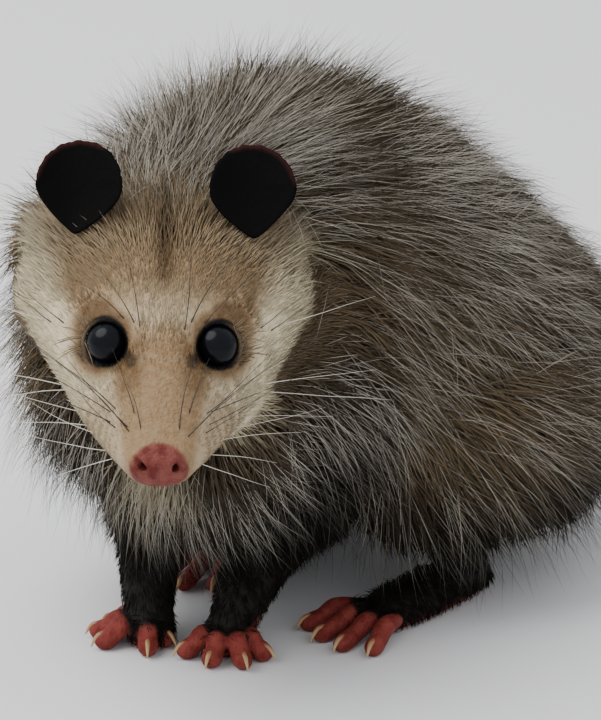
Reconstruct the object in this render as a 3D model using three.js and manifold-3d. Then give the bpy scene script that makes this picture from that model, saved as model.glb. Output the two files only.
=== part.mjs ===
// A life-size Virginia opossum in winter coat, hunched on all fours, head turned to its left.
// The animal faces -Y, its left side is +X, and it stands on the plane Z = 0.
import * as THREE from "three";
import { mergeVertices } from "three/addons/utils/BufferGeometryUtils.js";
import Module from "manifold-3d";

const wasm = await Module();
wasm.setup();

// Driving dimensions, in millimetres and degrees.
const GAP = 0.3; // air kept between neighbouring pieces
const SNOUT = 54; // nose tip to the line through the eyes
const EYE = { place: [41.5, -64.5, 151.5], spread: 20.5, height: 0.5, radius: 7.5 };
const HEAD_TURN = { pitch: 21, yaw: 40, roll: 2 };
const EAR = {
  root: [29, 42, 20.5],
  length: 37,
  width: 33,
  cup: 5,
  thick: 1.3,
  lean: 43,
  flare: 14,
};
const LID = { ring: 7.1, tube: 1.5, out: 3.8 };
const MOUTH = { height: -24.5, corner: -9, slope: 7 };
const NOSE_CUT = -44.5;
// Locks: how far the tips stand off the core, their thickness, how deep they root, their least height.
const COAT = { rise: 16, thick: 5, sink: 5, clear: 6 };
const PAW = { sole: 0.9, toe: 4.3, claw: 8.5, clawRoot: 1.5 };
const TAIL = { base: 11.5, tip: 2.2, cuts: [0.3, 0.66] };
const SIDE = [1, -1]; // left, right
const NAME = { 1: "left", "-1": "right" };

const rad = THREE.MathUtils.degToRad;
const vec = (x, y, z) => new THREE.Vector3(x, y, z);

// One seeded stream of draws, so that every build gives the same coat.
let seed = 20240117;
function draw(low, high) {
  seed = (seed * 1664525 + 1013904223) >>> 0;
  return low + ((high - low) * seed) / 4294967296;
}

// Solids and their joins and cuts.
function solid(geometry) {
  const g = geometry.clone();
  for (const name of Object.keys(g.attributes)) if (name !== "position") g.deleteAttribute(name);
  const merged = mergeVertices(g, 1e-4);
  const make = (triVerts) =>
    new wasm.Manifold(
      new wasm.Mesh({
        numProp: 3,
        vertProperties: new Float32Array(merged.attributes.position.array),
        triVerts,
      }),
    );
  const triVerts = new Uint32Array(merged.index.array);
  const made = make(triVerts);
  if (made.volume() > 0) return made;
  for (let i = 0; i < triVerts.length; i += 3)
    [triVerts[i + 1], triVerts[i + 2]] = [triVerts[i + 2], triVerts[i + 1]];
  return make(triVerts);
}

const join = (solids) => solids.reduce((sum, s) => sum.add(s));
const cut = (whole, ...tools) => tools.reduce((left, tool) => left.subtract(tool), whole);

// A node keeps only its largest closed surface.
function largest(made) {
  const bodies = made.decompose();
  return bodies.reduce((a, b) => (b.volume() > a.volume() ? b : a));
}

function facets(points, index) {
  const g = new THREE.BufferGeometry();
  const positions = points.flatMap((p) => [p.x, p.y, p.z]);
  g.setAttribute("position", new THREE.Float32BufferAttribute(positions, 3));
  g.setIndex(index);
  return g;
}

function geometryOf(made) {
  const m = made.getMesh();
  const positions = new Float32Array(m.numVert * 3);
  for (let i = 0; i < m.numVert; i++)
    positions.set(m.vertProperties.subarray(i * m.numProp, i * m.numProp + 3), i * 3);
  const g = new THREE.BufferGeometry();
  g.setAttribute("position", new THREE.BufferAttribute(positions, 3));
  g.setIndex(new THREE.BufferAttribute(new Uint32Array(m.triVerts), 1));
  g.computeVertexNormals();
  return g;
}

const middleOf = (ring) => ring.reduce((s, p) => s.add(p), vec(0, 0, 0)).divideScalar(ring.length);

// A closed surface through rings of points, with a fan at each end.
function skin(rings) {
  const n = rings[0].length;
  const points = rings.flat();
  points.push(middleOf(rings[0]), middleOf(rings[rings.length - 1]));
  const index = [];
  const at = (r, k) => r * n + (k % n);
  for (let r = 0; r + 1 < rings.length; r++)
    for (let k = 0; k < n; k++) {
      index.push(at(r, k), at(r + 1, k), at(r + 1, k + 1));
      index.push(at(r, k), at(r + 1, k + 1), at(r, k + 1));
    }
  const last = rings.length - 1;
  for (let k = 0; k < n; k++) {
    index.push(points.length - 2, at(0, k), at(0, k + 1));
    index.push(points.length - 1, at(last, k + 1), at(last, k));
  }
  return facets(points, index);
}

// A body form: rounded sections on a smooth line. A station is [x, y, z, half width, up, down, pear].
class Form {
  constructor(stations, { matrix = new THREE.Matrix4(), follow = false } = {}) {
    const curve = (pick) =>
      new THREE.CatmullRomCurve3(stations.map(pick), false, "catmullrom", 0.5);
    this.centre = curve((s) => vec(s[0], s[1], s[2]));
    this.size = curve((s) => vec(s[3], s[4], s[5]));
    this.pear = curve((s, i) => vec(s[6] || 0, i, 0));
    this.matrix = matrix;
    this.follow = follow;
  }
  axes(u) {
    if (!this.follow) return [vec(1, 0, 0), vec(0, 0, 1)];
    const along = this.centre.getPoint(Math.min(1, u + 0.01));
    along.sub(this.centre.getPoint(Math.max(0, u - 0.01)));
    const side = vec(0, 0, 1).cross(along);
    if (side.lengthSq() < 1e-9) side.set(1, 0, 0);
    side.normalize();
    if (side.x < 0) side.negate();
    const up = side.clone().cross(along).normalize();
    if (up.z < 0) up.negate();
    return [side, up];
  }
  point(u, t, grow = 0) {
    const size = this.size.getPoint(u);
    const pear = this.pear.getPoint(u).x;
    const [side, up] = this.axes(u);
    const s = Math.sin(t);
    const wide = (size.x + grow) * Math.cos(t) * (1 - pear * s);
    const tall = ((s > 0 ? size.y : size.z) + grow) * s;
    const p = this.centre.getPoint(u).addScaledVector(side, wide).addScaledVector(up, tall);
    return p.applyMatrix4(this.matrix);
  }
  slopes(u, t) {
    const e = 1e-3;
    const low = Math.max(0, u - e);
    const high = Math.min(1, u + e);
    const du = this.point(high, t).sub(this.point(low, t)).divideScalar(high - low);
    const dt = this.point(u, t + e).sub(this.point(u, t - e)).divideScalar(2 * e);
    return [du, dt];
  }
  normal(u, t) {
    const [du, dt] = this.slopes(u, t);
    const n = du.cross(dt).normalize();
    const out = this.point(u, t).sub(this.point(u, t + Math.PI));
    return n.dot(out) < 0 ? n.negate() : n;
  }
  // How fast the surface turns away along a tangent direction, in radians per millimetre.
  bend(u, t, lie) {
    const [du, dt] = this.slopes(u, t);
    const step = 6;
    const uu = du.dot(du);
    const ut = du.dot(dt);
    const tt = dt.dot(dt);
    const pu = lie.dot(du) * step;
    const pt = lie.dot(dt) * step;
    const u2 = u + (pu * tt - pt * ut) / (uu * tt - ut * ut);
    const t2 = t + (pt * uu - pu * ut) / (uu * tt - ut * ut);
    if (u2 <= 0.001 || u2 >= 0.999) return 1 / 60;
    return THREE.MathUtils.clamp(this.normal(u, t).angleTo(this.normal(u2, t2)) / step, 0, 1 / 30);
  }
  solid(rings, sides, grow = 0) {
    const loops = [];
    for (let r = 0; r <= rings; r++) {
      const loop = [];
      for (let k = 0; k < sides; k++)
        loop.push(this.point(r / rings, (2 * Math.PI * k) / sides, grow));
      loops.push(loop);
    }
    if (grow > 0) {
      const push = (loop, next) => {
        const away = middleOf(loop).sub(middleOf(next)).normalize();
        loop.forEach((p) => p.addScaledVector(away, grow));
      };
      push(loops[0], loops[1]);
      push(loops[rings], loops[rings - 1]);
    }
    return solid(skin(loops));
  }
}

// A round limb along a smooth line of [x, y, z, radius] stations.
function limb(stations, rings, sides, grow = 0) {
  const curve = (pick) => new THREE.CatmullRomCurve3(stations.map(pick), false, "catmullrom", 0.5);
  const line = curve(([x, y, z]) => vec(x, y, z));
  const size = curve((s, i) => vec(s[3], i, 0));
  const loops = [];
  let side = vec(0, 0, 1).cross(line.getTangent(0));
  if (side.lengthSq() < 0.05) side = vec(1, 0, 0);
  for (let r = 0; r <= rings; r++) {
    const u = r / rings;
    const along = line.getTangent(u);
    side.addScaledVector(along, -side.dot(along)).normalize();
    const up = along.clone().cross(side).normalize();
    const radius = size.getPoint(u).x + grow;
    const centre = line.getPoint(u);
    if (r === 0) centre.addScaledVector(along, -grow);
    if (r === rings) centre.addScaledVector(along, grow);
    const loop = [];
    for (let k = 0; k < sides; k++) {
      const t = (2 * Math.PI * k) / sides;
      const across = side.clone().multiplyScalar(radius * Math.cos(t));
      loop.push(centre.clone().add(across).addScaledVector(up, radius * Math.sin(t)));
    }
    loops.push(loop);
  }
  return solid(skin(loops));
}

function ball(centre, radii, matrix = new THREE.Matrix4(), detail = [10, 6]) {
  const g = new THREE.SphereGeometry(1, ...detail);
  g.applyMatrix4(
    new THREE.Matrix4().multiplyMatrices(
      matrix,
      new THREE.Matrix4().makeTranslation(...centre).scale(vec(...radii)),
    ),
  );
  return solid(g);
}

function block(low, high, matrix = new THREE.Matrix4()) {
  const size = high.map((h, i) => h - low[i]);
  const g = new THREE.BoxGeometry(...size);
  g.translate(...high.map((h, i) => (h + low[i]) / 2));
  g.applyMatrix4(matrix);
  return solid(g);
}

const REACH = 600; // larger than the animal
const floorBlock = block([-REACH, -REACH, -REACH], [REACH, REACH, 0]);
const onFloor = (made) => cut(made, floorBlock);

// One flat, tapered lock of coat: a three-sided blade that rises from its root and bends with the body.
const BLADE = [
  [0, 0.6, 0.9],
  [0.36, 1, 1],
  [0.76, 0.68, 0.65],
];
function lock(form, { u, t, lie, length, width, rise = COAT.rise, droop = 0 }) {
  const root = form.point(u, t);
  const out = form.normal(u, t);
  const along = lie.clone().addScaledVector(out, -lie.dot(out)).normalize();
  const across = out.clone().cross(along).normalize();
  const bend = form.bend(u, t, along);
  const centre = (s, reach) => {
    const turn = Math.max(bend * reach * 0.9, 1e-3);
    return root
      .clone()
      .addScaledVector(along, (reach / turn) * Math.sin(turn * s))
      .addScaledVector(out, (-reach / turn) * (1 - Math.cos(turn * s)))
      .addScaledVector(out, -COAT.sink + (rise + COAT.sink) * Math.pow(s, 0.8))
      .add(vec(0, 0, -droop * s * s));
  };
  let reach = length;
  while (reach > 1 && centre(1, reach).z < COAT.clear) reach *= 0.9;
  const rings = BLADE.map(([s, w, h]) => {
    const c = centre(s, reach);
    const ahead = centre(s + 0.02, reach).sub(c).normalize();
    const up = ahead.clone().cross(across).normalize();
    if (up.dot(out) < 0) up.negate();
    return [
      c.clone().addScaledVector(across, (width / 2) * w),
      c.clone().addScaledVector(up, COAT.thick * h),
      c.clone().addScaledVector(across, (-width / 2) * w),
    ];
  });
  return solid(blade(rings, centre(1, reach)));
}

// Rows of locks round a form, each row set half a lock off the one before it.
function rowsOf(form, rows, { lie, size, keep = () => true }) {
  const locks = [];
  rows.forEach(([u, count], row) => {
    for (let k = 0; k < count; k++) {
      const t = (2 * Math.PI * (k + (row % 2) / 2 + draw(-0.15, 0.15))) / count;
      const here = u + draw(-0.012, 0.012);
      const place = form.point(here, t);
      const out = form.normal(here, t);
      const vary = draw(0.88, 1.1);
      const spec = { u: here, t, lie: lie(place, out), ...size(place, out) };
      if (keep(place, out)) locks.push({ ...spec, length: spec.length * vary });
    }
  });
  return locks;
}

// A blade's surface: rings of points from the root, closed flat there, and a tip point.
function blade(rings, tip) {
  const n = rings[0].length;
  const points = [...rings.flat(), tip];
  const index = [];
  const at = (r, k) => r * n + (k % n);
  for (let r = 0; r + 1 < rings.length; r++)
    for (let k = 0; k < n; k++) {
      index.push(at(r, k), at(r + 1, k), at(r + 1, k + 1));
      index.push(at(r, k), at(r + 1, k + 1), at(r, k + 1));
    }
  const end = rings.length - 1;
  for (let k = 0; k < n; k++) index.push(points.length - 1, at(end, k + 1), at(end, k));
  for (let k = 1; k + 1 < n; k++) index.push(0, k, k + 1);
  return facets(points, index);
}

// The core of the coat on the trunk: [x, y, z, half width, up, down, pear], nose end first.
const torsoForm = new Form([
  [6, -38, 118, 12, 14, 14, 0],
  [5, -28, 116, 42, 58, 48, 0],
  [3, -8, 114, 60, 82, 66, 0.06],
  [2, 20, 114, 68, 93, 77, 0.08],
  [3, 52, 114, 72, 97, 78, 0.08],
  [5, 88, 110, 75, 92, 78, 0.08],
  [8, 122, 98, 75, 81, 72, 0.1],
  [11, 156, 84, 70, 68, 60, 0.1],
  [14, 186, 70, 58, 54, 46, 0.05],
  [16, 210, 60, 38, 34, 34, 0],
  [16, 222, 57, 14, 14, 14, 0],
]);
const neckForm = new Form(
  [
    [-4, 25, 120, 50, 62, 50],
    [0, 2, 119, 57, 66, 57],
    [5, -16, 120, 58, 62, 58],
    [13, -34, 123, 55, 50, 55],
    [23, -50, 128, 40, 36, 40],
  ],
  { follow: true },
);

// The head in its own frame: eyes' midpoint at the origin, nose towards -Y.
const headMatrix = new THREE.Matrix4()
  .makeTranslation(...EYE.place)
  .multiply(new THREE.Matrix4().makeRotationZ(rad(HEAD_TURN.yaw)))
  .multiply(new THREE.Matrix4().makeRotationX(rad(HEAD_TURN.pitch)))
  .multiply(new THREE.Matrix4().makeRotationY(rad(HEAD_TURN.roll)));
// Stations back from the nose tip: [back, height, half width, up, down, pear].
const headForm = new Form(
  [
    [0, -16, 6, 5.5, 5.5, 0],
    [2.5, -16, 11.5, 9, 9.5, 0],
    [8, -16, 14.5, 11.5, 12.5, 0],
    [18, -14, 16, 12, 15, 0.05],
    [30, -12, 19, 15, 19, 0.12],
    [42, -10, 24, 19, 23, 0.18],
    [54, -8, 30, 23, 28, 0.22],
    [70, -8, 41, 29, 33, 0.2],
    [85, -8, 52, 33, 37, 0.15],
    [98, -8, 58, 34, 40, 0.1],
    [112, -8, 56, 32, 38, 0.05],
    [126, -8, 42, 24, 28, 0],
    [132, -8, 22, 13, 14, 0],
  ].map(([back, height, ...sizes]) => [0, back - SNOUT, height, ...sizes]),
  { matrix: headMatrix },
);
const headPoint = (x, y, z) => vec(x, y, z).applyMatrix4(headMatrix);

const torsoCore = (grow = 0) => torsoForm.solid(17, 22, grow);
const neckCore = (grow = 0) => neckForm.solid(7, 20, grow);
const headCore = (grow = 0) => headForm.solid(24, 22, grow);

// Eyes, lids and sockets.
const eyeCentre = (side) => [side * EYE.spread, 0, EYE.height];
const gaze = (side) => vec(side * 0.5, -0.62, 0.52).normalize();
const eyeBall = (side, grow = 0) =>
  ball(eyeCentre(side), [1, 1, 1].map(() => EYE.radius + grow), headMatrix, [12, 8]);
function lids(side) {
  const ring = new THREE.TorusGeometry(LID.ring, LID.tube, 5, 16);
  const aim = new THREE.Quaternion().setFromUnitVectors(vec(0, 0, 1), gaze(side));
  ring.applyQuaternion(aim);
  ring.translate(...vec(...eyeCentre(side)).addScaledVector(gaze(side), LID.out).toArray());
  ring.applyMatrix4(headMatrix);
  return solid(ring);
}

// Nostrils: two short curved bores that open forwards and outwards.
function nostril(side) {
  const path = [
    [side * 3.5, -46, -13.5, 2],
    [side * 5.2, -51, -14, 2.3],
    [side * 8.5, -57, -14.5, 2.6],
  ].map(([x, y, z, r]) => [...headPoint(x, y, z).toArray(), r]);
  return limb(path, 3, 7);
}

// The jaw is parted from the head along the line of the mouth.
const mouthMatrix = headMatrix
  .clone()
  .multiply(new THREE.Matrix4().makeTranslation(0, MOUTH.corner, MOUTH.height + 2))
  .multiply(new THREE.Matrix4().makeRotationX(rad(MOUTH.slope)));
const jawBlock = (grow = 0) => block([-60, -80, -60], [60, grow, grow], mouthMatrix);
const noseMatrix = headMatrix
  .clone()
  .multiply(new THREE.Matrix4().makeTranslation(0, NOSE_CUT, -16))
  .multiply(new THREE.Matrix4().makeRotationX(rad(-14)));
const noseBlock = (grow = 0) => block([-60, -60, -60], [60, grow, 60], noseMatrix);

// An ear: a round, thin cup on a narrow root, leaning back.
function ear(side, grow = 0) {
  const lean = rad(EAR.lean);
  const up = vec(side * Math.sin(rad(EAR.flare)), Math.sin(lean), Math.cos(lean)).normalize();
  const face = vec(side * 0.1, -Math.cos(lean), Math.sin(lean));
  face.addScaledVector(up, -face.dot(up)).normalize();
  const across = up.clone().cross(face).normalize();
  const [rootX, rootY, rootZ] = EAR.root;
  const root = vec(side * rootX, rootY, rootZ).addScaledVector(up, -4);
  const rings = 3;
  const sides = 18;
  const place = (r, k, lift) => {
    const t = (2 * Math.PI * k) / sides;
    const low = Math.max(0, -Math.sin(t));
    const a = (EAR.width / 2 + grow) * r * Math.cos(t) * (1 - 0.5 * low * low * r);
    const b = EAR.length / 2 + (EAR.length / 2 + grow) * r * Math.sin(t);
    const hollow = EAR.cup * ((a / (EAR.width / 2)) ** 2 + 0.5 * r * r * low - 0.5);
    return root
      .clone()
      .addScaledVector(across, a)
      .addScaledVector(up, b)
      .addScaledVector(face, hollow + lift)
      .applyMatrix4(headMatrix);
  };
  const points = [];
  const index = [];
  const half = EAR.thick / 2 + grow;
  for (const lift of [half, -half]) {
    points.push(place(0, 0, lift));
    for (let r = 1; r <= rings; r++)
      for (let k = 0; k < sides; k++) points.push(place(r / rings, k, lift));
  }
  const layerSize = points.length / 2;
  const at = (layer, r, k) => layer * layerSize + (r === 0 ? 0 : 1 + (r - 1) * sides + (k % sides));
  for (let k = 0; k < sides; k++) {
    index.push(at(0, 0, 0), at(0, 1, k), at(0, 1, k + 1), at(1, 0, 0), at(1, 1, k + 1), at(1, 1, k));
    for (let r = 1; r < rings; r++) {
      index.push(at(0, r, k), at(0, r + 1, k), at(0, r + 1, k + 1));
      index.push(at(0, r, k), at(0, r + 1, k + 1), at(0, r, k + 1));
      index.push(at(1, r, k), at(1, r + 1, k + 1), at(1, r + 1, k));
      index.push(at(1, r, k), at(1, r, k + 1), at(1, r + 1, k + 1));
    }
    index.push(at(0, rings, k), at(1, rings, k), at(1, rings, k + 1));
    index.push(at(0, rings, k), at(1, rings, k + 1), at(0, rings, k + 1));
  }
  return solid(facets(points, index));
}

// Forelegs, from the shoulder to the wrist.
const FORELEG = {
  1: [[38, 30, 80, 21], [35, 28, 60, 19], [26, 14, 38, 15], [24, 1, 20, 12.5], [23, -3, 11, 11]],
  "-1": [[-38, 14, 80, 22], [-31, 12, 60, 19], [-17, -5, 40, 15], [-11, -14, 20, 12.5], [-8, -17, 11, 11]],
};
const foreleg = (side, grow = 0) => limb(FORELEG[side], 7, 10, grow);

// A toe: an arched digit from the paw to a pad on the ground, with a curved claw.
function toe([x, y], angle, { start, knuckle, reach, height, radius, claw = PAW.claw }, grow = 0) {
  const far = (r) => [x + r * Math.sin(angle), y - r * Math.cos(angle)];
  const low = radius * 0.9;
  const parts = [
    limb([
      [...far(start), height, radius],
      [...far(knuckle), height + 0.5, radius * 1.06],
      [...far((knuckle + reach) / 2), height * 0.75, radius * 1.02],
      [...far(reach), low, radius * 0.9],
      [...far(reach + radius * 0.75), low + 0.3, radius * 0.45],
    ], 4, 6, grow),
  ];
  if (claw)
    parts.push(limb([
      [...far(reach - 1), low + 2.2, PAW.clawRoot],
      [...far(reach + claw * 0.45), low + 2, PAW.clawRoot * 0.85],
      [...far(reach + claw * 0.85), low - 0.5, PAW.clawRoot * 0.5],
      [...far(reach + claw), low - 2.4, 0.3],
    ], 2, 4, grow));
  return join(parts);
}

// A forepaw: the palm, and five toes, each with its heading in degrees and its reach.
const FOREPAW = {
  1: { centre: [24, -7], toes: [[-76, 9], [-28, 17], [17, 16], [60, 17], [97, 16]] },
  "-1": { centre: [-6, -20], toes: [[-84, 17], [-57, 19], [-28, 18], [40, 13], [92, 8]] },
};
function forepaw(side) {
  const { centre, toes } = FOREPAW[side];
  const parts = [ball([...centre, 5], [11.5, 12, 9.5])];
  for (const [heading, reach] of toes)
    parts.push(toe(centre, rad(heading), {
      start: 5, knuckle: reach * 0.6, reach, height: 8, radius: PAW.toe,
    }));
  return onFloor(join(parts));
}

const HINDPAW = { 1: { toes: [55, 42], heel: [59, 98] }, "-1": { toes: [-34, 46], heel: [-38, 102] } };
const HIND_FAN = [[-9, -16], [-3, -5], [3.5, 6], [9, 17]];
function hindpaw(side, grow = 0) {
  const { toes, heel } = HINDPAW[side];
  const along = vec(toes[0] - heel[0], toes[1] - heel[1], 0).normalize();
  const yaw = Math.atan2(along.x, -along.y);
  const at = (share, off) => [
    heel[0] + (toes[0] - heel[0]) * share - along.y * off,
    heel[1] + (toes[1] - heel[1]) * share + along.x * off,
  ];
  const sole = new Form(
    [
      [...at(-0.12, 0), 6, 5, 5, 5],
      [...at(-0.05, 0), 6, 8, 8, 7],
      [...at(0.2, 0), 7, 8.5, 9, 7.5],
      [...at(0.6, 0), 6, 10.5, 7, 6.5],
      [...at(0.9, 0), 6, 12, 6, 6.5],
      [...at(1.05, 0), 5, 8, 4, 4],
    ],
    { follow: true },
  );
  const parts = [sole.solid(7, 10, grow)];
  for (const [off, angle] of HIND_FAN)
    parts.push(toe(at(0.86, off), yaw + rad(angle), {
      start: 3, knuckle: 11, reach: 19, height: 7.5, radius: PAW.toe,
    }, grow));
  // The big toe has no claw and stands off to the inner side.
  const inner = -side;
  parts.push(toe(at(0.5, 5 * inner), yaw + rad(62) * inner, {
    start: 0, knuckle: 8, reach: 15, height: 6.5, radius: PAW.toe * 1.1, claw: 0,
  }, grow));
  return onFloor(join(parts));
}

// Hind legs: the thigh is a mass on the flank, the shank folds back under it to the heel.
const HIP_X = 10; // the line midway between the thighs
const THIGH = [
  [50, 46, 74, 10, 14, 12],
  [55, 56, 73, 22, 32, 30],
  [61, 80, 68, 31, 43, 44],
  [64, 106, 62, 34, 47, 46],
  [63, 132, 57, 31, 44, 43],
  [57, 154, 54, 22, 32, 34],
  [53, 164, 53, 8, 10, 10],
];
const thighForms = Object.fromEntries(
  SIDE.map((side) => [side, new Form(THIGH.map(([x, ...rest]) => [HIP_X + side * (x - HIP_X), ...rest]))]),
);
const thighCore = (side, grow = 0) => thighForms[side].solid(10, 16, grow);
const shank = (side, grow = 0) => {
  const [hx, hy] = HINDPAW[side].heel;
  return limb([
    [HIP_X + side * 46, 64, 62, 17],
    [(HIP_X + side * 46 + hx) / 2, 78, 44, 16],
    [hx, hy - 8, 26, 13],
    [hx, hy - 1, 13, 10.5],
  ], 6, 10, grow);
};

// The seam round a thigh: upright through the flesh, then slanted back along the lie of the coat.
const SEAM = { centre: [106, 64], radii: [53, 48], inner: 40, flesh: 74, lean: [2.4, -1] };
function thighSeam(side, grow = 0) {
  const rings = [];
  const depths = [SEAM.inner - grow, SEAM.flesh, SEAM.flesh + 24, SEAM.flesh + 55];
  for (const depth of depths) {
    const away = Math.max(0, depth - SEAM.flesh);
    const ring = Array.from({ length: 16 }, (_, k) => {
      const t = (2 * Math.PI * k) / 16;
      return vec(
        HIP_X + side * (depth - HIP_X),
        SEAM.centre[0] + away * SEAM.lean[0] + (SEAM.radii[0] + grow) * Math.cos(t),
        SEAM.centre[1] + away * SEAM.lean[1] + (SEAM.radii[1] + grow) * Math.sin(t),
      );
    });
    rings.push(ring);
  }
  return solid(skin(rings));
}

// The tail lies on the ground and curls round behind the body.
const TAIL_LINE = [
  [16, 204, 56], [16, 226, 38], [14, 246, 18], [6, 266, 9], [-16, 286, 6], [-52, 292, 4],
  [-90, 276, 3], [-116, 244, 3], [-130, 204, 2], [-132, 168, 1], [-124, 140, 1],
];
const tailRadius = (share) => TAIL.base + (TAIL.tip - TAIL.base) * Math.pow(share, 0.85);
const tailLine = new THREE.CatmullRomCurve3(TAIL_LINE.map((p) => vec(...p)), false, "catmullrom", 0.5);
function tailLength(to, grow = 0) {
  const steps = Math.round(to * 27);
  const stations = [];
  for (let i = 0; i <= steps; i++) {
    const share = (to * i) / steps;
    const p = tailLine.getPointAt(share);
    const radius = tailRadius(share);
    stations.push([p.x, p.y, Math.max(p.z, radius - 0.5), radius]);
  }
  return limb(stations, steps, 10, grow);
}
// The tail is whole, and two thin cuts across it part it into its lengths, root first.
function tailPieces() {
  const slabs = TAIL.cuts.map((share) => {
    const turn = new THREE.Quaternion().setFromUnitVectors(vec(0, 1, 0), tailLine.getTangentAt(share));
    const place = new THREE.Matrix4().compose(tailLine.getPointAt(share), turn, vec(1, 1, 1));
    return block([-22, -GAP / 2, -22], [22, GAP / 2, 22], place);
  });
  const pieces = cut(onFloor(tailLength(1)), ...slabs).decompose();
  return pieces.sort((a, b) => b.volume() - a.volume());
}

// The pieces that show bare skin, whole.
const SKIN = {};
for (const side of SIDE) {
  SKIN[`eye_${NAME[side]}`] = eyeBall(side);
  SKIN[`ear_${NAME[side]}`] = cut(ear(side), headCore(GAP));
  SKIN[`forepaw_${NAME[side]}`] = forepaw(side);
  SKIN[`hindpaw_${NAME[side]}`] = hindpaw(side);
}
[SKIN.tail_base, SKIN.tail_middle, SKIN.tail_tip] = tailPieces();

// The head is made whole, and the nose and the jaw are parted from it by thin cuts.
const headWhole = cut(
  join([headCore(), lids(1), lids(-1)]),
  eyeBall(1, GAP),
  eyeBall(-1, GAP),
  nostril(1),
  nostril(-1),
);
const nodes = {
  head: cut(headWhole, jawBlock(GAP), noseBlock(GAP)),
  jaw: cut(headWhole.intersect(jawBlock()), noseBlock(GAP)),
  nose: headWhole.intersect(noseBlock()),
  ...SKIN,
};

// The lie of the coat: back along the trunk, and down on the flanks.
function trunkLie(place, out) {
  const down = 0.15 + 0.75 * (1 - Math.max(0, out.z));
  return vec(0.12 * Math.sign(out.x), 1, -down);
}
// The trunk has no locks of its own where a thigh lies over it.
const underThigh = ({ y, z }) =>
  Math.hypot((y - SEAM.centre[0]) / SEAM.radii[0], (z - SEAM.centre[1]) / SEAM.radii[1]) < 0.9;
const trunkLocks = rowsOf(
  torsoForm,
  [[0.2, 8], [0.35, 9], [0.5, 10], [0.65, 10], [0.79, 9], [0.92, 7]],
  {
    lie: trunkLie,
    size: (place, out) => ({
      length: out.z < -0.5 ? 40 : 64,
      width: 45,
      droop: out.z > 0.5 ? 0 : 5,
      rise: out.z < -0.6 ? 11 : COAT.rise,
    }),
    keep: (place) => !underThigh(place),
  },
);
const thighLocks = (side) =>
  rowsOf(thighForms[side], [[0.3, 7], [0.65, 7]], {
    lie: (place, out) => vec(0.1 * side, 1, -0.7 - 0.5 * Math.max(0, -out.z)),
    size: () => ({ length: 52, width: 38, rise: 14, droop: 4 }),
    keep: (place, out) => out.x * side > -0.1 && place.z > 14,
  });
// The ruff spreads from the face, outwards and back.
const neckLocks = rowsOf(neckForm, [[0.35, 8], [0.78, 8]], {
  lie: (place, out) => vec(out.x * 0.5 - 0.1, 0.9, out.z * 0.4 - 0.3),
  size: () => ({ length: 50, width: 40 }),
});
const body = join([
  torsoCore(),
  neckCore(),
  thighCore(1),
  thighCore(-1),
  ...trunkLocks.map((spec) => lock(torsoForm, spec)),
  ...neckLocks.map((spec) => lock(neckForm, spec)),
  ...SIDE.flatMap((side) => thighLocks(side).map((spec) => lock(thighForms[side], spec))),
]);
// The seam behind the neck flares back along the lie of the coat: [distance back, radius].
const COLLAR = [[0, 0.5], [0, 50], [8, 68], [56, 130], [-110, 150], [-110, 0.5]];
function collar(grow = 0) {
  const back = vec(-0.3, 1, -0.1).normalize();
  const right = back.clone().cross(vec(0, 0, 1)).normalize();
  const up = right.clone().cross(back);
  const rings = COLLAR.map(([along, radius]) =>
    Array.from({ length: 16 }, (_, k) => {
      const t = (2 * Math.PI * k) / 16;
      return vec(5, -10, 117)
        .addScaledVector(back, along + grow)
        .addScaledVector(right, radius * Math.cos(t))
        .addScaledVector(up, radius * Math.sin(t));
    }),
  );
  return solid(skin(rings));
}
const bare = cut(
  body,
  headCore(GAP),
  ear(1, GAP),
  ear(-1, GAP),
  foreleg(1, GAP),
  foreleg(-1, GAP),
  shank(1, GAP),
  shank(-1, GAP),
  hindpaw(1, GAP),
  hindpaw(-1, GAP),
  tailLength(0.3, GAP),
);
nodes.neck = bare.intersect(collar());
nodes.torso = cut(bare, collar(GAP), thighSeam(1, GAP), thighSeam(-1, GAP));
for (const side of SIDE) {
  const name = NAME[side];
  nodes[`thigh_${name}`] = cut(bare.intersect(thighSeam(side)), collar(GAP));
  nodes[`foreleg_${name}`] = cut(foreleg(side), forepaw(side));
  nodes[`shank_${name}`] = cut(shank(side), hindpaw(side, GAP));
}

const material = (color, roughness) => new THREE.MeshStandardMaterial({ color, roughness, metalness: 0 });
const BLACK_LEG = material("#26211f", 0.85);
const COAT_GREY = material("#8d8378", 0.95);
const PINK = material("#c4675c", 0.6);
const MATERIAL = {
  head: material("#ded5c6", 0.95),
  jaw: material("#e8dfd0", 0.95),
  nose: material("#d98d86", 0.45),
  eye: material("#120f10", 0.08),
  ear: material("#2b2023", 0.7),
  neck: material("#a89c8d", 0.95),
  torso: COAT_GREY,
  thigh: COAT_GREY,
  foreleg: BLACK_LEG,
  shank: BLACK_LEG,
  forepaw: PINK,
  hindpaw: PINK,
  tail: material("#c9a79a", 0.75),
};

const opossum = new THREE.Group();
for (const [name, made] of Object.entries(nodes)) {
  const mesh = new THREE.Mesh(geometryOf(largest(made)), MATERIAL[name.split("_")[0]]);
  mesh.name = name;
  opossum.add(mesh);
}

// The shared origin: under the middle of the whole animal, on the floor.
const bounds = new THREE.Box3().setFromObject(opossum);
const middle = bounds.getCenter(vec(0, 0, 0));
opossum.position.set(-middle.x, -middle.y, -bounds.min.z);

export default opossum;
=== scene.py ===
import math

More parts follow.
